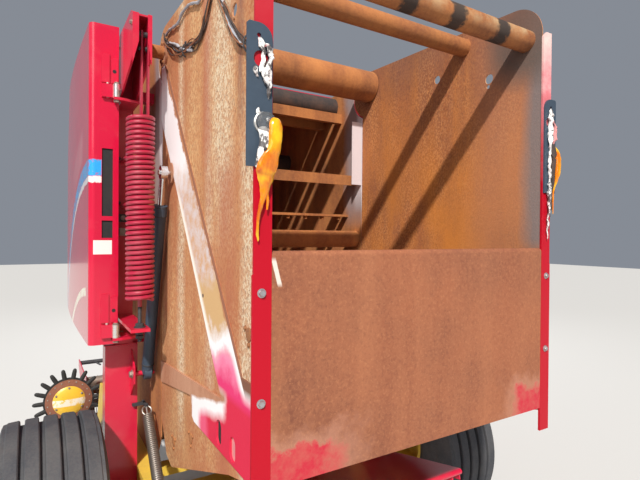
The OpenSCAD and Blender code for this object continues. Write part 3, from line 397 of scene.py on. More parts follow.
def gusset_paint(g, y, z, height, wobble, strap):
    """The strap with the gusset at its foot, red with pale edges, and the bare ridge and bosses."""
    lower = g.ramp(z, 1.315, 1.285)
    along = g.plus(y, g.scaled(g.noise(8.0, 5, 0.6, shift=6.5), 0.10, -0.05))
    gusset = g.mix(g.ramp(along, Y(545), Y(590)), (0.78, 0.10, 0.20), BURNT_PALE)
    gusset = g.mix(g.ramp(along, Y(500), Y(450)), gusset, (0.66, 0.012, 0.055))
    gusset = g.layer(gusset, BURNT_PALE, g.band(along, Y(-40), Y(95), 0.02), g.ramp(height, 1.31, 1.35))
    strap = g.mix(lower, strap, gusset)
    ridge = rust_colour(g, (0.47, 0.225, 0.13), (0.36, 0.13, 0.06), (0.60, 0.34, 0.22), 0.5)
    slope = g.scaled(y, 0.228, -0.228 * Y(654))
    top = g.minus(g.plus(g.plus(z, slope), g.times(wobble, 0.25)), 1.183)
    on_ridge = g.most(g.ramp(y, Y(655), Y(675)),
                      g.times(g.ramp(top, 0.000, 0.012), g.ramp(y, Y(285), Y(315))))
    edge = g.times(g.ramp(top, -0.060, -0.022), g.ramp(along, Y(290), Y(330)))
    strap = g.layer(strap, BURNT_PALE, edge, lower)
    strap = g.layer(strap, ridge, on_ridge, lower)
    away = g.squares(g.minus(y, STRAP_TOP_AT[0]), g.minus(z, STRAP_TOP_AT[1]))
    pin = g.squares(g.minus(y, Y(PIVOT_D)), g.minus(z, PIVOT_Z))
    return g.mix(g.most(g.ramp(away, 0.0023, 0.0020), g.ramp(pin, 0.0044, 0.0040)), strap, ridge)


def inner_rust(g, place, z, dots, specks, broken):
    """Inside of a side plate: darker, with painted light as brighter orange patches low down, grey at the
    rear edge and black at the ear.
    """
    dark = rust_colour(g, (0.40, 0.125, 0.045), (0.19, 0.062, 0.032), (0.66, 0.24, 0.05), 0.5)
    # Painted light: brighter orange patches that fade out toward the top
    painted_glow = g.spots(0.42, 0.60, 2.4, 4, 0.6, stretch=(1, 1, 0.5), shift=23.0)
    painted_glow = g.times(painted_glow, g.ramp(z, 2.55, 1.95))
    brush = g.spots(0.44, 0.64, 16.0, 5, 0.65, stretch=(1, 1, 0.12), shift=41.0)
    dark = g.layer(dark, (0.30, 0.115, 0.062), brush, 0.45)
    dark = g.layer(dark, (0.78, 0.36, 0.14), dots, g.scaled(broken, 0.30, 0.12))
    dark = g.layer(dark, (0.14, 0.050, 0.030), specks, 0.45)
    dark = g.layer(dark, (0.72, 0.245, 0.035), painted_glow, 0.7)
    dark = g.layer(dark, (0.44, 0.185, 0.105), g.ramp(place, Y(430), Y(250)), 0.55)
    scorch = g.times(g.ramp(place, Y(105), Y(40)), g.ramp(z, 1.70, 1.80))
    dark = g.layer(dark, (0.19, 0.175, 0.18), scorch, 0.85)
    ear = g.squares(g.minus(place, Y(85)), g.minus(z, 2.62))
    dark = g.layer(dark, (0.13, 0.095, 0.08), g.ramp(ear, 0.052, 0.012), 0.92)
    return g.layer(dark, (0.20, 0.09, 0.06), g.ramp(z, 2.55, 2.75), 0.45)


def side_material():
    """Tailgate side: speckled rust, a strap burnt white above and a red gusset below, darker inside."""
    g = Graph("gate_side")
    x = g.math("ABSOLUTE", g.axis(0))
    y, z = g.axis(1), g.axis(2)
    weave = g.scaled(g.noise(3.0, 4, 0.6, stretch=(1, 1, 0.35), shift=4.0), 0.16, -0.08)
    place = g.plus(y, weave)
    dots = g.spots(0.47, 0.56, 120.0, 2, 0.6, stretch=(1, 1, 0.7), shift=11.0)
    specks = g.spots(0.55, 0.62, 150.0, 2, 0.6, stretch=(1, 1, 0.7), shift=31.0)
    broken = g.spots(0.42, 0.60, 7.0, 4, 0.6, stretch=(1, 1, 0.30), shift=33.0)
    middle = g.scaled(z, STRAP_LEAN, Y(STRAP_D) - STRAP_Z * STRAP_LEAN)
    across = g.math("DIVIDE", g.minus(y, middle), STRAP_HALF)
    wobble = g.scaled(g.noise(6.0, 5, 0.6, shift=3.5), 0.26, -0.13)
    height = g.plus(z, wobble)
    strap = gusset_paint(g, y, z, height, wobble, strap_paint(g, z, across, height))
    colour = g.mix(g.ramp(x, 0.5966, 0.5974), outer_rust(g, place, z, dots, specks, broken), strap)
    colour = g.mix(g.ramp(x, 0.5925, 0.5915), colour, inner_rust(g, place, z, dots, specks, broken))
    return g.finish(colour, 0.8, g.noise(80.0, 6, 0.72, shift=2.0), 0.35, 0.004)


def panel_material():
    """Rear panel: rust with the last red paint in the low corners."""
    g = Graph("rear_panel")
    x, z = g.axis(0), g.axis(2)
    colour = rust_colour(g, (0.305, 0.098, 0.044), (0.17, 0.054, 0.030), (0.46, 0.180, 0.082), 0.35)
    freckles = g.spots(0.54, 0.62, 130.0, 2, 0.6, shift=13.0)
    colour = g.layer(colour, (0.12, 0.040, 0.026), freckles, 0.20)
    # Painted highlights: small bright specks standing for glints of light
    painted_glints = g.spots(0.55, 0.64, 110.0, 2, 0.6, shift=17.0)
    colour = g.layer(colour, (0.62, 0.27, 0.12), painted_glints, 0.18)
    ragged = g.scaled(g.noise(11.0, 6, 0.65, shift=5.0), 0.22)
    left = g.times(g.ramp(g.plus(x, ragged), -0.22, -0.30), g.ramp(g.plus(z, ragged), 1.345, 1.325))
    right = g.times(g.ramp(g.minus(x, ragged), 0.30, 0.36), g.ramp(g.plus(z, ragged), 1.35, 1.32))
    paint = g.most(left, right)
    halo = g.most(g.ramp(g.plus(x, ragged), -0.14, -0.28), g.ramp(g.minus(x, ragged), 0.24, 0.34))
    halo = g.times(halo, g.ramp(g.plus(z, ragged), 1.40, 1.33))
    colour = g.layer(colour, (0.50, 0.24, 0.16), halo, 0.7)
    worn = g.spots(0.40, 0.62, 30.0, 6, 0.7, shift=9.0)
    colour = g.mix(paint, colour, g.layer((0.52, 0.02, 0.04), (0.50, 0.12, 0.09), worn, 0.55))
    lean = g.scaled(z, 0.265, 0.584 - 1.751 * 0.265)
    far = g.math("ABSOLUTE", g.plus(g.plus(x, lean), g.scaled(ragged, 0.03, -0.003)))
    pale = g.times(g.ramp(far, 0.0075, 0.0055), g.band(z, 1.672, 1.742, 0.006))
    colour = g.layer(colour, ASH_WHITE, pale, 0.85)
    return g.finish(colour, 0.82, g.noise(70.0, 6, 0.72, shift=2.0), 0.3, 0.004)


# Left ends of the patches where belts burnt on the rear tube
BELT_PATCHES = (-0.312, -0.062, 0.158, 0.398)


def beam_material():
    """Rear cross tube: rust with four black patches where belts burnt on it."""
    g = Graph("burnt_beam")
    x, y, z = g.axis(0), g.axis(1), g.axis(2)
    rusty = rust_colour(g, RUST, RUST_DARK, RUST_BRIGHT, 0.4)
    ashen = g.times(g.spots(0.42, 0.62, 13.0, 5, 0.6, shift=21.0), g.ramp(z, 2.575, 2.62))
    ashen = g.times(ashen, g.ramp(y, Y(240), Y(200)))
    rusty = g.layer(rusty, (0.48, 0.33, 0.18), ashen, 0.85)
    ragged = g.scaled(g.noise(24.0, 6, 0.7, shift=3.0), 0.10)
    place = g.plus(x, ragged)
    patches = 0.0
    for at in BELT_PATCHES:
        patches = g.most(patches, g.band(place, at + 0.015, at + 0.085, 0.010))
    near = g.ramp(y, Y(200), Y(160))
    colour = g.layer(rusty, (0.030, 0.024, 0.022), g.times(patches, near), 0.94)
    return g.finish(colour, 0.85, g.noise(90.0, 6, 0.72, shift=2.0), 0.35, 0.004)


def wall_material():
    """Front side walls: rust, scorched grey and white along the edge that the tailgate closes on."""
    g = Graph("frame_wall")
    y, z = g.axis(1), g.axis(2)
    colour = rust_colour(g, (0.42, 0.145, 0.05), RUST_DARK, (0.66, 0.27, 0.08), 0.5)
    wave = g.scaled(g.noise(5.0, 5, 0.6, shift=4.0), 0.14, -0.07)
    place = g.plus(y, wave)
    grey = g.times(g.ramp(place, Y(1400), Y(1330)), g.ramp(z, 1.85, 2.0))
    colour = g.layer(colour, (0.33, 0.27, 0.28), grey, 0.85)
    pale = g.times(g.ramp(place, Y(1275), Y(1240)), g.ramp(z, 1.95, 2.1))
    colour = g.layer(colour, (0.74, 0.66, 0.68), pale, 0.85)
    return g.finish(colour, 0.84, g.noise(90.0, 6, 0.7, shift=2.0), 0.35, 0.004)


def flange_material():
    """Rear flanges: red paint, scorched pale toward the top of the right one."""
    g = Graph("flange_paint")
    x, z = g.axis(0), g.axis(2)
    ragged = g.scaled(g.noise(8.0, 6, 0.65, shift=5.0), 0.7)
    wobble = g.plus(z, ragged)
    chips = g.spots(0.64, 0.70, 42.0, 5, 0.7, shift=5.0)
    colour = g.layer((0.46, 0.005, 0.018), (0.24, 0.06, 0.04), chips, 0.5)
    right = g.ramp(x, -0.1, 0.1)
    scorch = g.times(g.ramp(wobble, 2.35, 2.85), g.scaled(right, 0.82, 0.08))
    colour = g.mix(scorch, colour, PAINT_PINK)
    white = g.times(g.ramp(wobble, 2.75, 3.1), right)
    colour = g.mix(white, colour, ASH_WHITE)
    return g.finish(colour, 0.42, g.noise(18.0, 4, 0.55), 0.08, 0.006, specular=0.2)


def shield_material():
    """Side shield: glossy red, a blue band over a pale line, bare places for decals, silver hinges."""
    g = Graph("shield_paint")
    x = g.math("ABSOLUTE", g.axis(0))
    y, z = g.axis(1), g.axis(2)
    along = g.most(g.minus(y, SHIELD_BACK), 0.0)
    drop = g.times(g.times(along, along), 0.42)
    level = g.plus(z, drop)
    wrap = g.ramp(x, 0.858, 0.862)
    dust = g.spots(0.45, 0.75, 5.0, 6, 0.65)
    colour = g.layer(PAINT_RED, DUSTY_RED, dust, 0.16)
    peel = g.spots(0.50, 0.54, 20.0, 6, 0.7, shift=6.0)
    edge = g.scaled(g.noise(30.0, 5, 0.7, shift=2.0), 0.03)
    worn = g.minus(1.0, g.times(peel, 0.55))
    blue = g.times(g.band(g.plus(level, edge), 2.088, 2.162, 0.002), g.times(worn, wrap))
    colour = g.mix(blue, colour, (0.03, 0.36, 0.80))
    line = g.times(g.band(g.plus(level, edge), 2.058, 2.086, 0.002), wrap)
    colour = g.layer(colour, (0.88, 0.87, 0.86), line, 0.9)
    patch = g.times(g.band(g.plus(level, edge), 2.20, 2.36, 0.003), g.band(along, 0.24, 1.02, 0.004))
    ghost = g.spots(0.30, 0.70, 3.0, 3, 0.5, shift=12.0)
    colour = g.layer(colour, (0.78, 0.36, 0.37), g.times(patch, ghost), 0.38)
    label = g.times(g.band(x, 0.815, 0.893, 0.001), g.band(z, 1.715, 1.779, 0.001))
    label = g.times(label, g.ramp(y, Y(1240), Y(1235)))
    colour = g.layer(colour, (0.86, 0.85, 0.82), label, 0.92)
    lower = g.times(g.band(level, 1.52, 1.56, 0.002), g.band(along, 0.10, 1.40, 0.004))
    colour = g.layer(colour, (0.88, 0.84, 0.62), lower, g.minus(1.0, g.times(peel, 0.4)))
    dx = g.minus(x, HINGE_X)
    dy = g.minus(y, HINGE_Y)
    far = g.math("SQRT", g.plus(g.times(dx, dx), g.times(dy, dy)))
    barrel = g.ramp(far, 0.0170, 0.0160)
    colour = g.mix(barrel, colour, (0.74, 0.73, 0.70))
    return g.finish(colour, 0.24, g.noise(6.0, 2, 0.5), 0.05, 0.02, metallic=g.times(barrel, 0.8),
                    coat=0.6, coat_rough=0.08)


def dress(material, *nodes):
    """Puts one material on CAD nodes."""
    for node in nodes:
        mesh = NODES[node].data
        if not mesh.materials:
            mesh.materials.append(material)
        for i in range(len(mesh.materials)):
            mesh.materials[i] = material


# Mesh building

def keep_edges(mesh, degrees):
    """Smooth shading with hard edges kept."""
    bm = bmesh.new()
    bm.from_mesh(mesh)
    for edge in bm.edges:
        if len(edge.link_faces) == 2 and edge.calc_face_angle(0) > math.radians(degrees):
            edge.smooth = False
    bm.to_mesh(mesh)
    bm.free()


def new_object(name, bm, body, materials, degrees=38):
    """Turns a bmesh into a piece that rides on a body."""
    mesh = bpy.data.meshes.new(name)
    bmesh.ops.recalc_face_normals(bm, faces=bm.faces)
    bm.to_mesh(mesh)
    bm.free()
    for material in materials:
        mesh.materials.append(material)
    piece = link(bpy.data.objects.new(name, mesh))
    for face in mesh.polygons:
        face.use_smooth = True
    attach(piece, body)
    keep_edges(mesh, degrees)
    return piece


def arc(u, v, radius, steps, start=0.0, turn=math.pi):
    """Points along an arc in a plane."""
    angles = [start + turn * k / steps for k in range(steps + 1)]
    return [(u + radius * math.cos(a), v + radius * math.sin(a)) for a in angles]


def circle(u, v, radius, sides, start=0.0):
    return arc(u, v, radius, sides, start, 2 * math.pi)[:-1]


def ring_between(bm, low, high, material=0):
    """Faces between two closed rings of the same length."""
    n = len(low)
    for k in range(n):
        face = bm.faces.new((low[k], low[(k + 1) % n], high[(k + 1) % n], high[k]))
        face.material_index = material


def skin(bm, rings, material=0):
    """Faces along a row of rings, and over its two ends."""
    for low, high in zip(rings, rings[1:]):
        ring_between(bm, low, high, material)
    for ring in (rings[0], rings[-1]):
        bm.faces.new(ring).material_index = material


def add_tube(bm, points, radius, sides=10, material=0):
    """Sweeps a ring along points; radius may be one number or one for each point."""
    points = [Vector(p) for p in points]
    radii = radius if isinstance(radius, (list, tuple)) else [radius] * len(points)
    rings = []
    side = None
    for i, point in enumerate(points):
        ahead = points[min(i + 1, len(points) - 1)] - points[max(i - 1, 0)]
        ahead.normalize()
        if side is None:
            side = ahead.orthogonal().normalized()
        side = (side - ahead * side.dot(ahead)).normalized()
        other = ahead.cross(side)
        ring = [point + (side * u + other * v) * radii[i] for u, v in circle(0, 0, 1, sides)]
        rings.append([bm.verts.new(place) for place in ring])
    skin(bm, rings, material)


def add_box(bm, low, high, material=0):
    """A box between two corners."""
    low, high = Vector(low), Vector(high)
    place = Matrix.Translation((low + high) / 2) @ Matrix.Diagonal((*(high - low), 1))
    made = bmesh.ops.create_cube(bm, size=1, matrix=place)
    for face in {f for v in made["verts"] for f in v.link_faces}:
        face.material_index = material


def add_disc(bm, at, normal, profile, sides=16, material=0):
    """Revolves (radius, height) points about a normal through a place."""
    place = Matrix.Translation(at) @ Vector(normal).to_track_quat("Z", "Y").to_matrix().to_4x4()
    rings = [[bm.verts.new(place @ Vector((u, v, height))) for u, v in circle(0, 0, radius, sides)]
             for radius, height in profile]
    skin(bm, rings, material)


def add_bolt(bm, at, normal, radius, material=0):
    """A hexagon head on a washer."""
    add_disc(bm, at, normal, [(radius * 1.35, 0), (radius * 1.35, radius * 0.16)], 20, material)
    add_disc(bm, Vector(at) + Vector(normal) * radius * 0.15, normal,
             [(radius, 0), (radius, radius * 0.62), (radius * 0.82, radius * 0.74)], 6, material)


def add_round_head(bm, at, normal, radius, material=0):
    """The domed head of a carriage bolt."""
    steps = [(radius * math.cos(a), radius * 0.45 * math.sin(a)) for a in (0, 0.5, 1.0, 1.4)]
    add_disc(bm, at, normal, steps, 16, material)


def add_plate(bm, outline, place, thickness, material=0):
    """A flat outline given in 2D, put in place by a function and made thick."""
    front = [bm.verts.new(place(u, v, 0)) for u, v in outline]
    back = [bm.verts.new(place(u, v, thickness)) for u, v in outline]
    n = len(outline)
    bm.faces.new(front).material_index = material
    bm.faces.new(list(reversed(back))).material_index = material
    for i in range(n):
        j = (i + 1) % n
        bm.faces.new((front[i], back[i], back[j], front[j])).material_index = material


def plate_with_holes(bm, outer, holes, place, thickness, material=0):
    """A flat outline with holes in it, made thick."""
    loops = [outer] + [list(reversed(h)) for h in holes]
    tris = tessellate_polygon([[Vector((u, v, 0)) for u, v in loop] for loop in loops])
    points = [p for loop in loops for p in loop]
    front = [bm.verts.new(place(u, v, 0)) for u, v in points]
    back = [bm.verts.new(place(u, v, thickness)) for u, v in points]
    for a, b, c in tris:
        bm.faces.new((front[a], front[b], front[c])).material_index = material
        bm.faces.new((back[c], back[b], back[a])).material_index = material
    start = 0
    for loop in loops:
        n = len(loop)
        for i in range(n):
            a, b = start + i, start + (i + 1) % n
            bm.faces.new((front[a], back[a], back[b], front[b])).material_index = material
        start += n


def helix(centre, axis, side, radius, low, high, turns, steps=18):
    """Points of a coil about an axis through a centre."""
    centre, axis, side = Vector(centre), Vector(axis).normalized(), Vector(side)
    side = (side - axis * side.dot(axis)).normalized()
    other = axis.cross(side)
    count = int(turns * steps)
    out = []
    for i in range(count + 1):
        a = 2 * math.pi * i / steps
        out.append(centre + axis * (low + (high - low) * i / count)
                   + (side * math.cos(a) + other * math.sin(a)) * radius)
    return out


def smooth_path(points, steps=6):
    """A Catmull-Rom curve through points of any dimension."""
    points = [Vector(p) for p in points]
    out = []
    for i in range(len(points) - 1):
        a, b, c = points[max(i - 1, 0)], points[i], points[i + 1]
        d = points[min(i + 2, len(points) - 1)]
        for k in range(steps):
            u = k / steps
            out.append(0.5 * ((2 * b) + (c - a) * u + (2 * a - 5 * b + 4 * c - d) * u * u
                              + (3 * b - a - 3 * c + d) * u ** 3))
    out.append(points[-1])
    return out


# Springs

# Nuts and washers up the thread under a tension spring: height, radius, thickness, chamfer, sides
SPRING_NUTS = ((1.379, 0.018, 0.014, 0.003, 6), (1.362, 0.017, 0.012, 0.003, 6),
               (1.409, 0.024, 0.004, 0, 24), (1.413, 0.018, 0.013, 0.003, 6))


def tension_spring(side):
    """Coils with their plugs, the threaded rod below and two straps up to the housing's pin."""
    s = SIDES[side]
    x = s * SPRING_X
    out = (s, 0, 0)
    bm = bmesh.new()
    wire, end_gap, thread_r = 0.0088, 0.0106, 0.0088
    low, high = COIL_LOW + end_gap, COIL_TOP - end_gap
    coil = helix((x, SPRING_Y, 0), UP, (1, 0, 0), COIL_R - wire, low, high, 37, 20)
    add_tube(bm, coil, wire, 8)
    for z in (1.53, 2.278):
        plug = [(0.034, 0), (0.037, 0.003), (0.037, 0.030), (0.034, 0.033)]
        add_disc(bm, (x, SPRING_Y, z), UP, plug, 24)
    thread = [(thread_r if i % 2 else thread_r - 0.0014, i * 0.0022) for i in range(68)]
    add_disc(bm, (x, SPRING_Y, 1.349), UP, thread, 12, 1)
    add_disc(bm, (x, SPRING_Y, 1.498), UP, [(0.009, 0), (0.009, 0.035)], 14)
    for z, r, tall, chamfer, sides in SPRING_NUTS:
        profile = [(r, 0), (r, tall)] + ([(r - chamfer, tall + 0.002)] if chamfer else [])
        add_disc(bm, (x, SPRING_Y, z), UP, profile, sides, 1)
    strap = arc(0, 2.666, 0.014, 8) + arc(0, 2.286, 0.014, 8, math.pi)
    for dx in (-0.006, -0.033):
        low_x = x + (dx if s > 0 else -dx - 0.008)
        add_plate(bm, strap, lambda u, v, w: Vector((low_x + w, SPRING_Y + u, v)), 0.008)
    add_disc(bm, (s * 0.706, SPRING_Y, 2.66), out, [(0.012, 0), (0.012, 0.066)], 18, 1)
    add_disc(bm, (x - s * 0.038, SPRING_Y, 2.29), out, [(0.008, 0), (0.008, 0.048)], 14, 1)
    for at in (0.003, -0.024):
        add_bolt(bm, (x + s * at, SPRING_Y, 2.29), out, 0.011, 1)
        add_bolt(bm, (x + s * at, SPRING_Y, 2.60), out, 0.009, 1)
    piece = new_object(f"spring_coil_{side}", bm, "frame", [M_COIL, M_DARK])
    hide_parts(f"tension_spring_{side}")


def ramp_spring(side):
    """Slack coil from the ramp's ear up to a lug on the post, with a loop at each end."""
    s = SIDES[side]
    x = s * RAMP_SPRING_X
    low, top = Vector((x, Y(978), 0.642)), Vector((x, Y(1300), 0.960))
    axis = (top - low).normalized()
    length = (top - low).length
    wire, coil_r, shank = 0.0045, 0.0215, 0.052
    bm = bmesh.new()
    add_tube(bm, helix(low, axis, (1, 0, 0), coil_r, shank, length - shank, 38, 16), wire, 8)
    angles = [math.pi * 2 * k / 14 for k in range(15)]
    for end, inward in ((low, axis), (top, -axis)):
        loop = [end + Vector((coil_r * math.sin(a) * s, 0, 0)) + inward * (0.026 - 0.024 * math.cos(a))
                for a in angles]
        add_tube(bm, loop, wire, 8)
    for end, inward in ((low, axis), (top, -axis)):
        add_tube(bm, [end, end + inward * (shank + 0.002)], 0.005, 8)
    lug = sorted((x - s * 0.006, x + s * 0.057))
    add_box(bm, (x - 0.006, Y(1292), 0.952), (x + 0.006, Y(1385), 0.964), 1)
    add_box(bm, (lug[0], Y(1340), 0.952), (lug[1], Y(1361), 0.964), 1)
    add_bolt(bm, (x, Y(1300), 0.964), UP, 0.009, 1)
    return new_object(f"ramp_coil_{side}", bm, "frame", [M_SPRING, M_DARK])


# Melted lamps

PLATE, SILVER, LENS, WHITE, AMBER, SOOT, PINK = range(7)
LUMP, FINE_LUMP, THIN = 0.0050, 0.0016, 0.006
PLATE_FRONT = 0.0035


def melted(bm, place, rows, seed, material, rough=1.0, sides=12):
    """Melted plastic: flattened rings with lumps.

    Each row is (outward, depth, height, half width, half depth) in millimetres."""
    rows = [[v / 1000 for v in row] for row in rows]
    rings = []
    for u, w, z, ru, rw in smooth_path(rows, 4):
        ring = []
        for c, h in circle(0, 0, 1, sides):
            point = Vector((u + ru * c, w + rw * h, z))
            lump = lumps.noise_vector(point * 60 + Vector((seed, seed * 2.1, 0)))
            fine = lumps.noise_vector(point * 170 + Vector((seed, 0, 3)))
            point += (lump * LUMP + fine * FINE_LUMP) * rough * min(1.0, ru / THIN)
            point.y = max(point.y, PLATE_FRONT)
            ring.append(bm.verts.new(place(*point)))
        rings.append(ring)
    skin(bm, rings, material)


AMBER_LEFT = [(600, 30, 2108, 6, 4), (597, 34, 2098, 17, 9), (596, 36, 2070, 19, 10),
              (598, 36, 2040, 18, 10), (606, 32, 2015, 23, 10), (614, 28, 1990, 28, 10),
              (618, 24, 1970, 28, 9), (616, 20, 1955, 23, 8), (615, 16, 1935, 17, 7),
              (620, 14, 1905, 10, 6), (628, 12, 1875, 6, 5), (632, 10, 1850, 4.5, 4),
              (634, 9, 1820, 4, 3.5), (632, 8, 1798, 3, 3), (632, 8, 1790, 1, 1)]
AMBER_LEFT_DRIP = [(610, 16, 1950, 8, 5), (611, 14, 1925, 6, 4), (607, 13, 1895, 4, 3),
                   (609, 12, 1872, 2.5, 2)]
AMBER_RIGHT = [(655, 10, 2168, 3, 3), (659, 13, 2152, 10, 8), (662, 16, 2125, 14, 11),
               (662, 17, 2090, 15, 12), (659, 16, 2055, 13, 11), (653, 13, 2025, 8, 7),
               (648, 10, 1995, 4, 4), (646, 9, 1950, 3, 3), (647, 9, 1900, 1.5, 1.5)]
WHITE_STRAND = [(627, 10, 2312, 4, 4), (628, 12, 2300, 9, 6), (624, 12, 2288, 7, 6),
                (621, 12, 2270, 4.5, 5), (622, 12, 2250, 4.5, 5), (625, 12, 2236, 7, 6),
                (630, 10, 2224, 5, 4)]
WHITE_RAG = [(607, 11, 2302, 4, 4), (605, 13, 2288, 8, 6), (602, 14, 2270, 8, 7), (603, 14, 2252, 7, 7),
             (608, 13, 2236, 10, 8), (612, 14, 2220, 14, 10), (608, 14, 2204, 13, 10),
             (603, 12, 2190, 8, 7), (606, 10, 2174, 4, 4), (604, 8, 2160, 1.5, 2)]
WHITE_BLOB = [(640, 8, 2240, 2, 3), (641, 10, 2228, 6, 5), (637, 9, 2214, 3, 3)]
WHITE_BODY = [(624, 10, 2088, 10, 6), (621, 16, 2076, 16, 10), (617, 22, 2055, 17, 13),
              (619, 22, 2035, 18, 13), (624, 20, 2015, 17, 12), (630, 15, 1998, 12, 9),
              (635, 10, 1984, 6, 5), (636, 8, 1974, 2, 2)]
WHITE_LONG = [(624, 10, 2318, 3, 4), (622, 12, 2290, 8, 7), (619, 14, 2240, 9, 9), (617, 14, 2190, 8, 9),
              (620, 12, 2155, 5, 7), (616, 13, 2120, 4.5, 6), (614, 14, 2080, 6, 7), (619, 13, 2040, 4, 5),
              (614, 12, 1990, 6, 6), (618, 11, 1940, 4, 5), (614, 10, 1880, 6, 5), (612, 9, 1835, 4, 4),
              (611, 8, 1800, 1.5, 2)]
PINK_RAG = [(634, 14, 2272, 4, 4), (637, 18, 2250, 10, 9), (638, 18, 2220, 9, 9), (633, 16, 2190, 6, 6),
            (636, 13, 2150, 3, 3)]
SOOT_RAG = [(630, 10, 2200, 4, 4), (636, 14, 2160, 12, 8), (634, 16, 2110, 10, 8), (630, 14, 2040, 8, 7),
            (626, 12, 1960, 6, 6), (622, 10, 1890, 3, 3)]
WHITE_DROP = [(631, 8, 2134, 4, 3), (632, 10, 2124, 7, 5), (630, 10, 2112, 4, 4)]
SOOT_SPOT = [(623, 33, 2030, 2, 1), (624, 34, 2024, 6, 3), (625, 33, 2016, 2, 1)]


def lamp(side):
    """Lamp bracket with what is left of two lamps that ran down it in the fire."""
    s = SIDES[side]
    low_x, plate_w, plate_t, corner = 0.592, 0.072, 0.006, 0.040
    high_x = low_x + plate_w
    bm = bmesh.new()
    foot, top = 1.983, 2.355
    outer = [(low_x, foot), (high_x, foot), (high_x, top - 0.006), (high_x - 0.006, top)]
    outer += arc(low_x + corner, top - corner, corner, 8, math.pi / 2, math.pi / 2)
    holes = [circle(0.624, 2.262, 0.022, 24), circle(0.631, 2.322, 0.006, 12)]

    def place(u, w, z):
        return Vector((s * u, REAR - w, z))

    plate_with_holes(bm, outer, holes, lambda u, v, w: place(u, plate_t - w, v), plate_t, PLATE)
    if side == "left":
        at = place(0.6165, 0.006, 2.096)
        lens_r = 0.0262
        add_disc(bm, at, BACK, [(0.029, 0), (0.029, 0.006), (0.026, 0.008)], 28, SILVER)
        dome = [(lens_r, 0.007), (0.0272, 0.012), (lens_r, 0.020)]
        dome += [(lens_r * math.cos(a), 0.020 + 0.010 * math.sin(a)) for a in (0.3, 0.6, 0.9, 1.2, 1.45)]
        add_disc(bm, at, BACK, dome, 28, LENS)
        socket = [(0.022, 0.008), (0.024, 0.014), (0.020, 0.010), (0.006, 0.009)]
        add_disc(bm, at, BACK, socket, 20, PLATE)
        bulb = [(0.006, 0), (0.006, 0.008), (0.003, 0.010)]
        add_disc(bm, at + Vector((0.004, -0.009, 0.006)), BACK, bulb, 12, SILVER)
        melted(bm, place, WHITE_DROP, 9.0, WHITE)
        for rows, seed, rough in ((WHITE_STRAND, 1.0, 1.6), (WHITE_RAG, 2.0, 1.6), (WHITE_BLOB, 3.0, 1.6),
                                  (WHITE_BODY, 4.0, 0.5)):
            melted(bm, place, rows, seed, WHITE, rough)
        melted(bm, place, SOOT_SPOT, 5.0, SOOT, 0.3)
        strand = [place(0.622, 0.010, 2.292), place(0.612, 0.014, 2.296), place(0.603, 0.012, 2.289)]
        add_tube(bm, smooth_path(strand, 4), 0.0032, 8, PINK)
        melted(bm, place, AMBER_LEFT, 6.0, AMBER, 0.55, 18)
        melted(bm, place, AMBER_LEFT_DRIP, 7.0, AMBER, 0.6)
    else:
        for rows, seed, material in ((WHITE_LONG, 11.0, WHITE), (WHITE_STRAND, 12.0, WHITE),
                                     (PINK_RAG, 13.0, PINK), (SOOT_RAG, 14.0, SOOT),
                                     (WHITE_BLOB, 15.0, WHITE)):
            melted(bm, place, rows, seed, material, 1.9)
        melted(bm, place, AMBER_RIGHT, 16.0, AMBER, 0.5, 18)
    looks = [M_PLATE, M_SILVER, M_LENS, M_MELT_WHITE, M_MELT_AMBER, M_SCORCH, M_MELT_PINK]
    piece = new_object(f"lamp_melted_{side}", bm, "tailgate", looks)
    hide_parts(f"lamp_{side}")


# Wheels and pickup

def revolve_x(bm, centre, profile, sides, notch):
    """Revolves closed (radius, place along X) points about an axis along X, less a notch."""
    centre = Vector(centre)
    rings = []
    for i, (radius, u) in enumerate(profile):
        ring = []
        for k, (c, h) in enumerate(circle(0, 0, 1, sides)):
            r = radius - notch(i, k)
            ring.append(bm.verts.new(centre + Vector((u, r * c, r * h))))
        rings.append(ring)
    for i in range(len(rings)):
        ring_between(bm, rings[i - 1], rings[i])


# A tyre's wall as (radius, place along the axle), from the bead to the shoulder
TYRE_WALL = [(0.205, -0.140), (0.212, -0.158), (0.235, -0.176), (0.262, -0.186), (0.268, -0.1905),
             (0.276, -0.1905), (0.282, -0.190), (0.330, -0.198), (0.372, -0.200), (0.380, -0.1975),
             (0.386, -0.1975), (0.392, -0.199), (0.425, -0.197), (0.452, -0.191), (0.476, -0.184),
             (0.488, -0.178)]
RIBS, GROOVE, GROOVE_HALF, TREAD_HALF, SHOULDER = 5, 0.022, 0.008, 0.18, 0.168
CROWN, RIB_EDGE = 0.007, 0.004


def tyre(side):
    """Tyre with ribs round it and notches along its two shoulders."""
    tread = []
    pitch = 2 * TREAD_HALF / RIBS
    for i in range(RIBS):
        low = -TREAD_HALF + i * pitch + GROOVE_HALF if i else -SHOULDER
        high = -TREAD_HALF + (i + 1) * pitch - GROOVE_HALF if i < RIBS - 1 else SHOULDER
        near = GROOVE if i else RIB_EDGE
        far = GROOVE if i < RIBS - 1 else RIB_EDGE
        for u, drop in ((low, near), (low + 0.0015, RIB_EDGE), (low + 0.006, 0), (high - 0.006, 0),
                        (high - 0.0015, RIB_EDGE), (high, far)):
            tread.append((WHEEL_R - drop - CROWN * (u / TREAD_HALF) ** 2, u))
    first, last = len(TYRE_WALL), len(TYRE_WALL) + len(tread) - 1
    edge = {first, first + 1, first + 2, last, last - 1, last - 2}
    profile = TYRE_WALL + tread + [(r, -u) for r, u in reversed(TYRE_WALL)]
    bm = bmesh.new()
    revolve_x(bm, (SIDES[side] * WHEEL_X, AXLE_Y, WHEEL_R), profile, 120,
              lambda i, k: 0.007 if i in edge and k % 5 == 0 else 0)
    piece = new_object(f"tyre_ribbed_{side}", bm, f"wheel_{side}", [M_TYRE], 30)
    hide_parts(f"tyre_{side}")


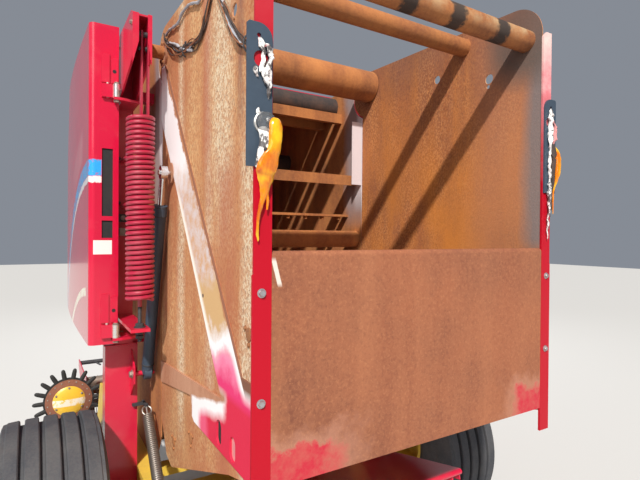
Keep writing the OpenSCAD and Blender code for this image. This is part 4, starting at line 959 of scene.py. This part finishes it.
def wheel_fittings(side):
    """Studs with nuts, the hub's cap and the valve."""
    s = SIDES[side]
    out = Vector((s, 0, 0))
    bm = bmesh.new()
    centre = Vector((s * WHEEL_X, AXLE_Y, WHEEL_R))
    for y, z in circle(0, 0, 0.122, 8, math.pi / 8):
        at = centre + Vector((s * 0.054, y, z))
        add_bolt(bm, at, out, 0.013)
        add_disc(bm, at + out * 0.008, out, [(0.007, 0), (0.007, 0.010), (0.005, 0.012)], 12)
    cap = [(0.050, 0), (0.050, 0.022), (0.046, 0.032), (0.034, 0.038), (0.012, 0.040)]
    add_disc(bm, centre + out * 0.099, out, cap, 32, 1)
    valve = [centre + Vector((s * x, y, z)) for x, y, z in
             ((0.05, 0.150, 0.02), (0.075, 0.156, 0.022), (0.098, 0.160, 0.023))]
    add_tube(bm, valve, 0.005, 10)
    new_object(f"wheel_nuts_{side}", bm, f"wheel_{side}", [M_STEEL, M_DARK])


# Gathering wheel: profiles as (radius, place towards the rear), and a finger as (radius, half width,
# half depth)
GATHER_HUB = [(0.0175, 0.020), (0.0175, -0.028), (0.034, -0.028), (0.038, -0.010), (0.060, -0.006),
              (0.094, -0.003), (0.098, 0.000), (0.100, 0.012), (0.094, 0.019), (0.080, 0.024),
              (0.062, 0.030), (0.040, 0.033), (0.012, 0.034)]
GATHER_DISC = [(0.094, -0.008), (0.150, -0.008), (0.152, -0.006), (0.152, 0.006), (0.150, 0.008),
               (0.094, 0.008)]
GATHER_RING = [(0.097, 0.007), (0.141, 0.007), (0.141, 0.0115), (0.139, 0.0125), (0.110, 0.0125),
               (0.104, 0.015), (0.097, 0.015)]
FINGER = [(0.132, 0.0140, 0.0105), (0.150, 0.0145, 0.0110), (0.172, 0.0143, 0.0105),
          (0.191, 0.0135, 0.0100), (0.202, 0.0120, 0.0090), (0.209, 0.0085, 0.0065),
          (0.2122, 0.0035, 0.0030)]
FINGERS = 18


def gather_wheel(side):
    """Gathering wheel with a dished hub and rubber fingers."""
    x, y, z = GATHER_AT
    centre = Vector((SIDES[side] * x, y, z))
    bm = bmesh.new()
    add_disc(bm, centre, BACK, GATHER_HUB, 48)
    add_disc(bm, centre, BACK, GATHER_DISC, 64, 2)
    add_disc(bm, centre, BACK, GATHER_RING, 64, 1)
    for c, h in circle(0, 0, 1, FINGERS):
        along, across = Vector((c, 0, h)), Vector((-h, 0, c))
        rings = []
        for r, half_w, half_d in FINGER:
            ring = []
            for u, v in circle(0, 0, 1, 12):
                flat = math.copysign(abs(u) ** 0.7, u)
                point = centre + along * r + across * (half_w * flat) + BACK * (half_d * v)
                ring.append(bm.verts.new(point))
            rings.append(ring)
        skin(bm, rings, 2)
    for u, v in circle(0, 0, 0.086, 6, math.pi / 6):
        add_bolt(bm, centre + Vector((u, 0, v)) + BACK * 0.0215, BACK, 0.0062, 3)
    for u, v in circle(0, 0, 0.126, FINGERS, math.pi / FINGERS):
        add_round_head(bm, centre + Vector((u, 0, v)) + BACK * 0.0125, BACK, 0.005, 3)
    piece = new_object(f"gather_fingers_{side}", bm, f"gather_{side}",
                       [M_HUB, M_RUST_DARK, M_RUBBER, M_STEEL])
    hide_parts(f"gather_wheel_{side}")


# A tine as (distance out from its bar, bend, radius)
TINE = [(0.0, 0.0180, 0.0031), (0.03, 0.0180, 0.0031), (0.06, 0.0180, 0.0030), (0.09, 0.015, 0.0029),
        (0.12, 0.012, 0.0027), (0.142, 0.0098, 0.0020)]
TINE_BARS = 4


def reel():
    """Shaft, discs, tine bars, and spring tines wound in pairs."""
    bm = bmesh.new()
    along = Vector((1, 0, 0))
    for over, radius, sides in ((-0.006, 0.032, 32), (0.008, 0.020, 24)):
        shaft = [(radius, 0), (radius, 2 * (REEL_END + over))]
        add_disc(bm, (-REEL_END - over, REEL_Y, REEL_Z), along, shaft, sides)
    disc = [(0.150, 0), (0.153, 0.002), (0.153, 0.014), (0.150, 0.016)]
    for x in (-REEL_END + 0.014, -0.008, REEL_END - 0.030):
        add_disc(bm, (x, REEL_Y, REEL_Z), along, disc, 48, 1)
    count = int((PICKUP_W - 0.120) // TINE_PITCH)
    first = -(count - 1) * TINE_PITCH / 2
    for bar in range(TINE_BARS):
        turn = math.radians(bar * 360 / TINE_BARS + 20)
        out = Vector((0, -math.sin(turn), math.cos(turn)))
        ahead = Vector((0, math.cos(turn), math.sin(turn)))
        base = Vector((0, REEL_Y, REEL_Z)) + ahead * 0.135
        half = along * (REEL_END - 0.014)
        add_tube(bm, [base - half, base + half], 0.013, 12, 1)
        for i in range(count):
            root = base + along * (first + i * TINE_PITCH)
            add_tube(bm, helix(root - along * 0.010, along, out, 0.0185, 0.0, 0.016, 2, 8), 0.0030, 6)
            line = [root + ahead * bend + out * far for far, bend, _ in TINE]
            add_tube(bm, line, [radius for _, _, radius in TINE], 6)
    piece = new_object("reel_tines", bm, "reel", [M_STEEL, M_RUST])
    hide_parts("tine_reel")


# Fittings on the frame and the tailgate

def tailgate_fittings(side):
    """Bolts of the flange and the side plate, the ring of bolts at the pivot, a flat dark disc painted as
    the shade in a small hole, and two slot-shaped sheets for long holes: a black one painted as the shade
    in its hole, and a pink one.
    """
    s = SIDES[side]
    out = Vector((s, 0, 0))
    bm = bmesh.new()
    for z in (1.654, 1.364):
        at = Vector((s * 0.617, REAR, z))
        add_disc(bm, at, BACK, [(0.0125, 0), (0.0125, 0.0016), (0.0115, 0.0020)], 24, 2)
        add_disc(bm, at, BACK, [(0.0092, 0), (0.0092, 0.0070), (0.0080, 0.0086)], 6, 2)
        add_disc(bm, at + AHEAD * 0.008, AHEAD, [(0.012, 0), (0.012, 0.010), (0.010, 0.012)], 6, 2)
    for y, z in circle(Y(PIVOT_D), PIVOT_Z, 0.046, 6, 0.3):
        add_bolt(bm, (s * 0.607, y, z), out, 0.007, 1)
    # A flat scorched disc on the strap, painted as the shade in a small hole
    add_disc(bm, (s * 0.6042, Y(533), 1.588), out, [(0.007, 0), (0.007, 0.0006)], 16, 3)
    # Slot-shaped sheets on the side plate: the black one is painted shade in a long hole, the pink one
    # shows pink inside the other
    for d, z, tall, material in ((360, 1.156, 0.084, 4), (236, 1.148, 0.076, 5)):
        painted_hole = [(Y(d) + u, z + v + math.copysign(tall / 2 - 0.023, v))
                for u, v in circle(0, 0, 0.0225, 20)]
        add_plate(bm, painted_hole, lambda u, v, w: Vector((s * (0.5964 + w), u, v)), 0.0008, material)
    for d, z in ((130, 1.52), (700, 1.01), (960, 0.90), (80, 2.605), (404, 2.688)):
        for y, bolt_z in circle(Y(d), z, 0.030, 3, 0.5):
            add_bolt(bm, (s * GATE_SIDE_X, y, bolt_z), out, 0.0065, 1)
        plug = [(0.020, 0), (0.020, 0.003), (0.010, 0.005)]
        add_disc(bm, (s * GATE_SIDE_X, Y(d), z), out, plug, 24, 1)
    looks = [M_RED_WORN, M_RUST_SMALL, M_ZINC, M_SCORCH, M_SHADE_BLACK, M_MELT_PINK]
    new_object(f"tailgate_bolts_{side}", bm, "tailgate", looks)


# Wires along the left side plate as (millimetres ahead of the rear face, height)
WIRE_ROWS = [(28, 2.290), (90, 2.325), (148, 2.359), (210, 2.405), (272, 2.461), (330, 2.536),
             (385, 2.610), (430, 2.655), (485, 2.613), (530, 2.565), (600, 2.535), (700, 2.537),
             (800, 2.557), (900, 2.590), (1000, 2.635), (1080, 2.675), (1110, 2.710)]
BURNT_STRANDS = (((1105, 2.722), (1060, 2.730), (980, 2.715), (900, 2.705), (831, 2.716), (740, 2.713),
                  (660, 2.690), (588, 2.672), (520, 2.698), (470, 2.708), (432, 2.668)),
                 ((352, 2.590), (335, 2.548), (290, 2.480), (272, 2.452), (210, 2.398), (148, 2.350),
                  (70, 2.306)),
                 ((1100, 2.690), (1020, 2.662), (930, 2.628), (850, 2.584), (760, 2.545), (690, 2.520)))
WIRE_CLIPS = ((148, 2.359), (430, 2.655), (800, 2.557))
WIRE_LOOKS = (0, 0, 1, 0, 3, 0, 0, 1, 0)


def strap_lift(d, z):
    """How far the side plate's raised strap stands out under a place on it."""
    middle = STRAP_D + (z - STRAP_Z) * STRAP_LEAN * 1000
    return 0.008 if abs(d - middle) < 150 and z < 2.62 else 0.0


def wire_path(rows, steps):
    return [(d, z) for d, z, _ in smooth_path([(d, z, 0.0) for d, z in rows], steps)]


def harness():
    """Bare burnt wires clipped along the left side of the tailgate, from the lamp to the pivot."""
    bm = bmesh.new()
    for w, look in enumerate(WIRE_LOOKS):
        points = []
        for d, z in wire_path(WIRE_ROWS, 3):
            n = lumps.noise_vector(Vector((d * 0.011, w * 3.1, 0.5)))
            near = min(abs(d - clip) for clip, _ in WIRE_CLIPS)
            spread = 0.3 + 0.7 * min(1.0, near / 70.0)
            off = (w - 4) * 0.0042 * spread
            lift = 0.003 + 0.0035 * (w % 3) + strap_lift(d, z)
            points.append((-GATE_SIDE_X - lift - abs(n.x) * 0.009 * spread, Y(d + n.y * 14 * spread),
                           z + off + n.z * 0.026 * spread))
        add_tube(bm, smooth_path(points, 2), 0.0018 + 0.0007 * (w % 3), 6, look)
    for i, rows in enumerate(BURNT_STRANDS):
        points = []
        for d, z in wire_path(rows, 4):
            n = lumps.noise_vector(Vector((d * 0.02, 40 + i * 3.0, 0.5)))
            points.append((-0.6035 - strap_lift(d, z) - abs(n.x) * 0.004, Y(d), z + n.z * 0.006))
        radii = [0.0052 * (0.75 + 0.5 * abs(math.sin(k * 0.9 + i))) for k in range(len(points))]
        add_tube(bm, points, radii, 7, 3)
    for d, z in WIRE_CLIPS:
        x = -GATE_SIDE_X - strap_lift(d, z)
        arch = [(x - 0.015 * v, Y(d), z + 0.026 * u) for u, v in arc(0, 0, 1, 8)]
        add_tube(bm, arch, 0.0030, 6, 2)
        add_bolt(bm, (x, Y(d), z + 0.031), (-1, 0, 0), 0.006, 2)
    new_object("burnt_wires", bm, "tailgate", [M_SCORCH, M_COPPER, M_DARK, M_ASH])


def shield_fittings(side):
    """Black sheets behind the shield's rear slots, painted shade where the inside of the shield looks
    dark, and over each hinge barrel a plate with a black disc painted as the shade in its hole.
    """
    s = SIDES[side]
    bm = bmesh.new()

    def inside_shade_plane(u, v, w):
        return Vector((s * u, SHIELD_BACK + 0.006 + w, v))

    def rear(u, v, w):
        return Vector((s * u, SHIELD_BACK - 0.0006 - w, v))

    # Black sheets just inside the rear slots: painted shade
    for low, high in ((1.875, 2.215), (1.775, 1.885)):
        outline = [(0.804, low), (0.866, low), (0.866, high), (0.804, high)]
        add_plate(bm, outline, inside_shade_plane, 0.002, 1)
    for hinge in HINGE_Z:
        low, high = hinge + 0.080, hinge + 0.212
        outline = [(0.828, low), (0.861, low), (0.861, high - 0.008), (0.853, high), (0.828, high)]
        add_plate(bm, outline, rear, 0.006, 0)
        top = high - 0.014
        leaf = [(0.790, low), (0.820, low), (0.820, top - 0.008), (0.812, top), (0.790, top)]
        add_plate(bm, leaf, rear, 0.005, 0)
        # A thin black disc painted as the shade in a hole
        painted_hole = [(0.0085, 0), (0.0085, 0.0006)]
        add_disc(bm, (s * 0.807, SHIELD_BACK - 0.0056, hinge + 0.135), BACK, painted_hole, 18, 1)
        rod = [(s * 0.836, SHIELD_BACK - 0.006, z) for z in (low - 0.068, low)]
        add_tube(bm, rod, 0.006, 12, 2)
    new_object(f"shield_fittings_{side}", bm, f"shield_{side}", [M_RED, M_SHADE_BLACK, M_SILVER])


HOSE_X, HOSE_ENDS, POST_BACK = 0.752, (2.165, 1.948), Y(POST_D + 0.5)
HOSE_LOOP = ((1356, 2.165), (1290, 2.168), (1180, 2.160), (1110, 2.125), (1092, 2.060), (1108, 1.985),
             (1170, 1.950), (1280, 1.946), (1356, 1.948))


def post_fittings(side):
    """Hose loop with its blocks, brackets, bolts of the hinge arms and housing, and two weld beads."""
    s = SIDES[side]
    out = Vector((s, 0, 0))
    bm = bmesh.new()
    x = s * HOSE_X
    add_tube(bm, smooth_path([(x, Y(d), z) for d, z in HOSE_LOOP], 6), 0.009, 12)
    for z in HOSE_ENDS:
        add_box(bm, (x - 0.022, Y(1354), z - 0.022), (x + 0.022, POST_BACK, z + 0.022))
        add_bolt(bm, (x - 0.014, Y(1354), z + 0.014), BACK, 0.006, 1)
    add_box(bm, (x - 0.020, Y(1320), 1.868), (x + 0.020, POST_BACK, 1.905), 1)
    add_bolt(bm, (x, Y(1320), 1.887), BACK, 0.009, 2)
    add_box(bm, (x - 0.014, Y(1335), 1.800), (x + 0.014, POST_BACK, 1.838), 2)
    for hinge in HINGE_Z:
        for dx in (-0.030, 0.018):
            add_bolt(bm, (s * (0.739 + dx), Y(1330), hinge + 0.012), UP, 0.008, 2)
        add_bolt(bm, (s * HINGE_X, HINGE_Y, hinge + 0.0715), UP, 0.0115, 2)
        add_disc(bm, (s * HINGE_X, HINGE_Y, hinge - 0.010), UP, [(0.013, 0), (0.013, 0.010)], 6, 2)
    for d, z in ((1405, 1.46), (1405, 1.75), (1405, 2.05), (1405, 2.35), (960, 2.69), (1300, 2.70),
                 (1300, 2.52)):
        add_bolt(bm, (s * POST_X, Y(d), z), out, 0.009, 2)
    add_bolt(bm, (s * 0.708, Y(1320), 1.120), out, 0.016, 2)
    rear_weld = [(s * (0.677 + 0.1475 * k / 24), Y(POST_D) - 0.001, 1.262) for k in range(25)]
    side_weld = [(s * 0.8252, Y(1362 + 86 * k / 16), 1.262) for k in range(17)]
    for weld, thin in ((rear_weld, 0.0042), (side_weld, 0.0040)):
        add_tube(bm, weld, [thin + 0.0012 * (k % 2) for k in range(len(weld))], 8)
    new_object(f"post_fittings_{side}", bm, "frame", [M_RED_WORN, M_DARK, M_STEEL])


BARREL_X, BARREL_FOOT, BARREL_EYE, BARREL_LENGTH = 0.637, (Y(1320), 1.120), (Y(1000), 2.080), 0.862


def cylinder_fittings(side):
    """Gland ring, port elbow and weld collar on a barrel."""
    x = SIDES[side] * BARREL_X
    foot = Vector((x, *BARREL_FOOT))
    axis = (Vector((x, *BARREL_EYE)) - foot).normalized()
    bm = bmesh.new()
    for at, r, h in ((BARREL_LENGTH - 0.052, 0.0305, 0.006), (BARREL_LENGTH - 0.010, 0.0305, 0.005),
                     (0.045, 0.0290, 0.008)):
        ring = [(r - 0.002, 0), (r, 0.001), (r, h - 0.001), (r - 0.002, h)]
        add_disc(bm, foot + axis * at, axis, ring, 28)
    port = foot + axis * 0.085
    elbow = [(0.011, 0), (0.011, 0.012), (0.009, 0.013), (0.009, 0.022)]
    add_disc(bm, port + AHEAD * 0.022, AHEAD, elbow, 12, 1)
    add_disc(bm, port + AHEAD * 0.034, AHEAD, [(0.012, 0), (0.012, 0.009), (0.010, 0.010)], 6, 1)
    new_object(f"cylinder_rings_{side}", bm, f"barrel_{side}", [M_DARK, M_STEEL])


make_camera()
make_lights()
make_floor()

# Looks of the pieces, in the order in which they are made
M_RUST = rust_material("rust", RUST, RUST_DARK, RUST_BRIGHT)
M_RED = red_paint()
M_DARK = plain("dark_steel", (0.045, 0.045, 0.05), 0.6)
M_PLATE = plain("dark_plate", (0.05, 0.075, 0.11), 0.5)
# Black for painted shade: sheets and discs put where a hole or a hollow only shows shade
M_SHADE_BLACK = plain("painted_shade_black", (0.012, 0.012, 0.014), 0.75, spot=(0.03, 0.025, 0.022))
M_SCORCH = plain("scorched", (0.035, 0.03, 0.03), 0.8, spot=(0.16, 0.08, 0.05))
M_YELLOW = plain("yellow_paint", (0.80, 0.56, 0.07), 0.42, spot=(0.50, 0.32, 0.10))
M_TYRE = plain("tyre", (0.045, 0.048, 0.058), 0.82, spot=(0.13, 0.125, 0.12), grain=120)
M_RUBBER = plain("rubber", (0.02, 0.02, 0.02), 0.7)
M_STEEL = plain("worn_steel", (0.36, 0.33, 0.30), 0.5, 0.6, spot=(0.24, 0.12, 0.06))
M_SPRING = plain("spring_steel", (0.30, 0.28, 0.26), 0.45, 0.8, spot=(0.20, 0.12, 0.07), grain=200)
M_CHROME = plain("chrome", (0.75, 0.75, 0.76), 0.15, 1.0, spot=(0.5, 0.45, 0.4))
M_SILVER = plain("silver", (0.72, 0.71, 0.68), 0.35, 0.7, spot=(0.45, 0.40, 0.34), bump=0.05)
M_RED_WORN = red_paint("red_worn")
M_RUST_SMALL = rust_material("rust_small", (0.34, 0.16, 0.08), RUST_DARK, RUST_BRIGHT, 0.4)
M_RUST_DARK = rust_material("rust_dark", (0.20, 0.075, 0.045), (0.10, 0.04, 0.028),
                            (0.34, 0.14, 0.08), 0.3)
M_COPPER = plain("copper_wire", (0.40, 0.17, 0.08), 0.55, 0.5, spot=(0.10, 0.07, 0.06))
M_LENS = plain("lens", (0.90, 0.91, 0.92), 0.05, spot=(0.74, 0.72, 0.70), bump=0.02, transmission=0.92)
M_MELT_WHITE = white_melt()
M_MELT_AMBER = amber_melt()
M_MELT_PINK = plain("melted_pink", (0.72, 0.30, 0.30), 0.40, spot=(0.42, 0.16, 0.15), bump=0.3)
M_ASH = plain("ash_grey", (0.42, 0.43, 0.47), 0.8, spot=(0.20, 0.19, 0.20))
M_ZINC = plain("zinc", (0.50, 0.50, 0.52), 0.38, 0.75, spot=(0.30, 0.22, 0.18), bump=0.05)
M_COIL = coil_paint()
M_HUB = hub_paint()

dress(M_YELLOW, "chassis", "axle", "drawbar", "rim_left", "rim_right")
dress(M_DARK, "hitch_clevis", "jack", "gearbox", "drive_chain", "windguard")
dress(M_RUST, "frame_beams")
dress(wall_material(), "wall_left", "wall_right")
dress(panel_material(), "gate_panel")
dress(beam_material(), "gate_beams")
dress(M_SCORCH, "chamber_rolls", "gate_rolls")
dress(side_material(), "gate_side_left", "gate_side_right")
dress(flange_material(), "gate_flange_left", "gate_flange_right")
dress(shield_material(), "shield_left", "shield_right")
dress(M_RED, "hood", "net_box", "front_panel", "post_left", "post_right", "tension_spring_left",
      "tension_spring_right", "ramp", "pickup_frame")
dress(M_PLATE, "lamp_left", "lamp_right", "barrel_left", "barrel_right")
dress(M_CHROME, "rod_left", "rod_right")
dress(M_STEEL, "stripper_bands", "tine_reel")
dress(M_SPRING, "ramp_springs")
dress(M_RUBBER, "driveline")

for side in SIDES:
    tension_spring(side)
    lamp(side)
    tyre(side)
    wheel_fittings(side)
    gather_wheel(side)
    tailgate_fittings(side)
    post_fittings(side)
    shield_fittings(side)
    cylinder_fittings(side)
harness()
reel()
ramp_coils = [ramp_spring(side) for side in SIDES]
for coil in ramp_coils:
    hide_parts("ramp_springs")
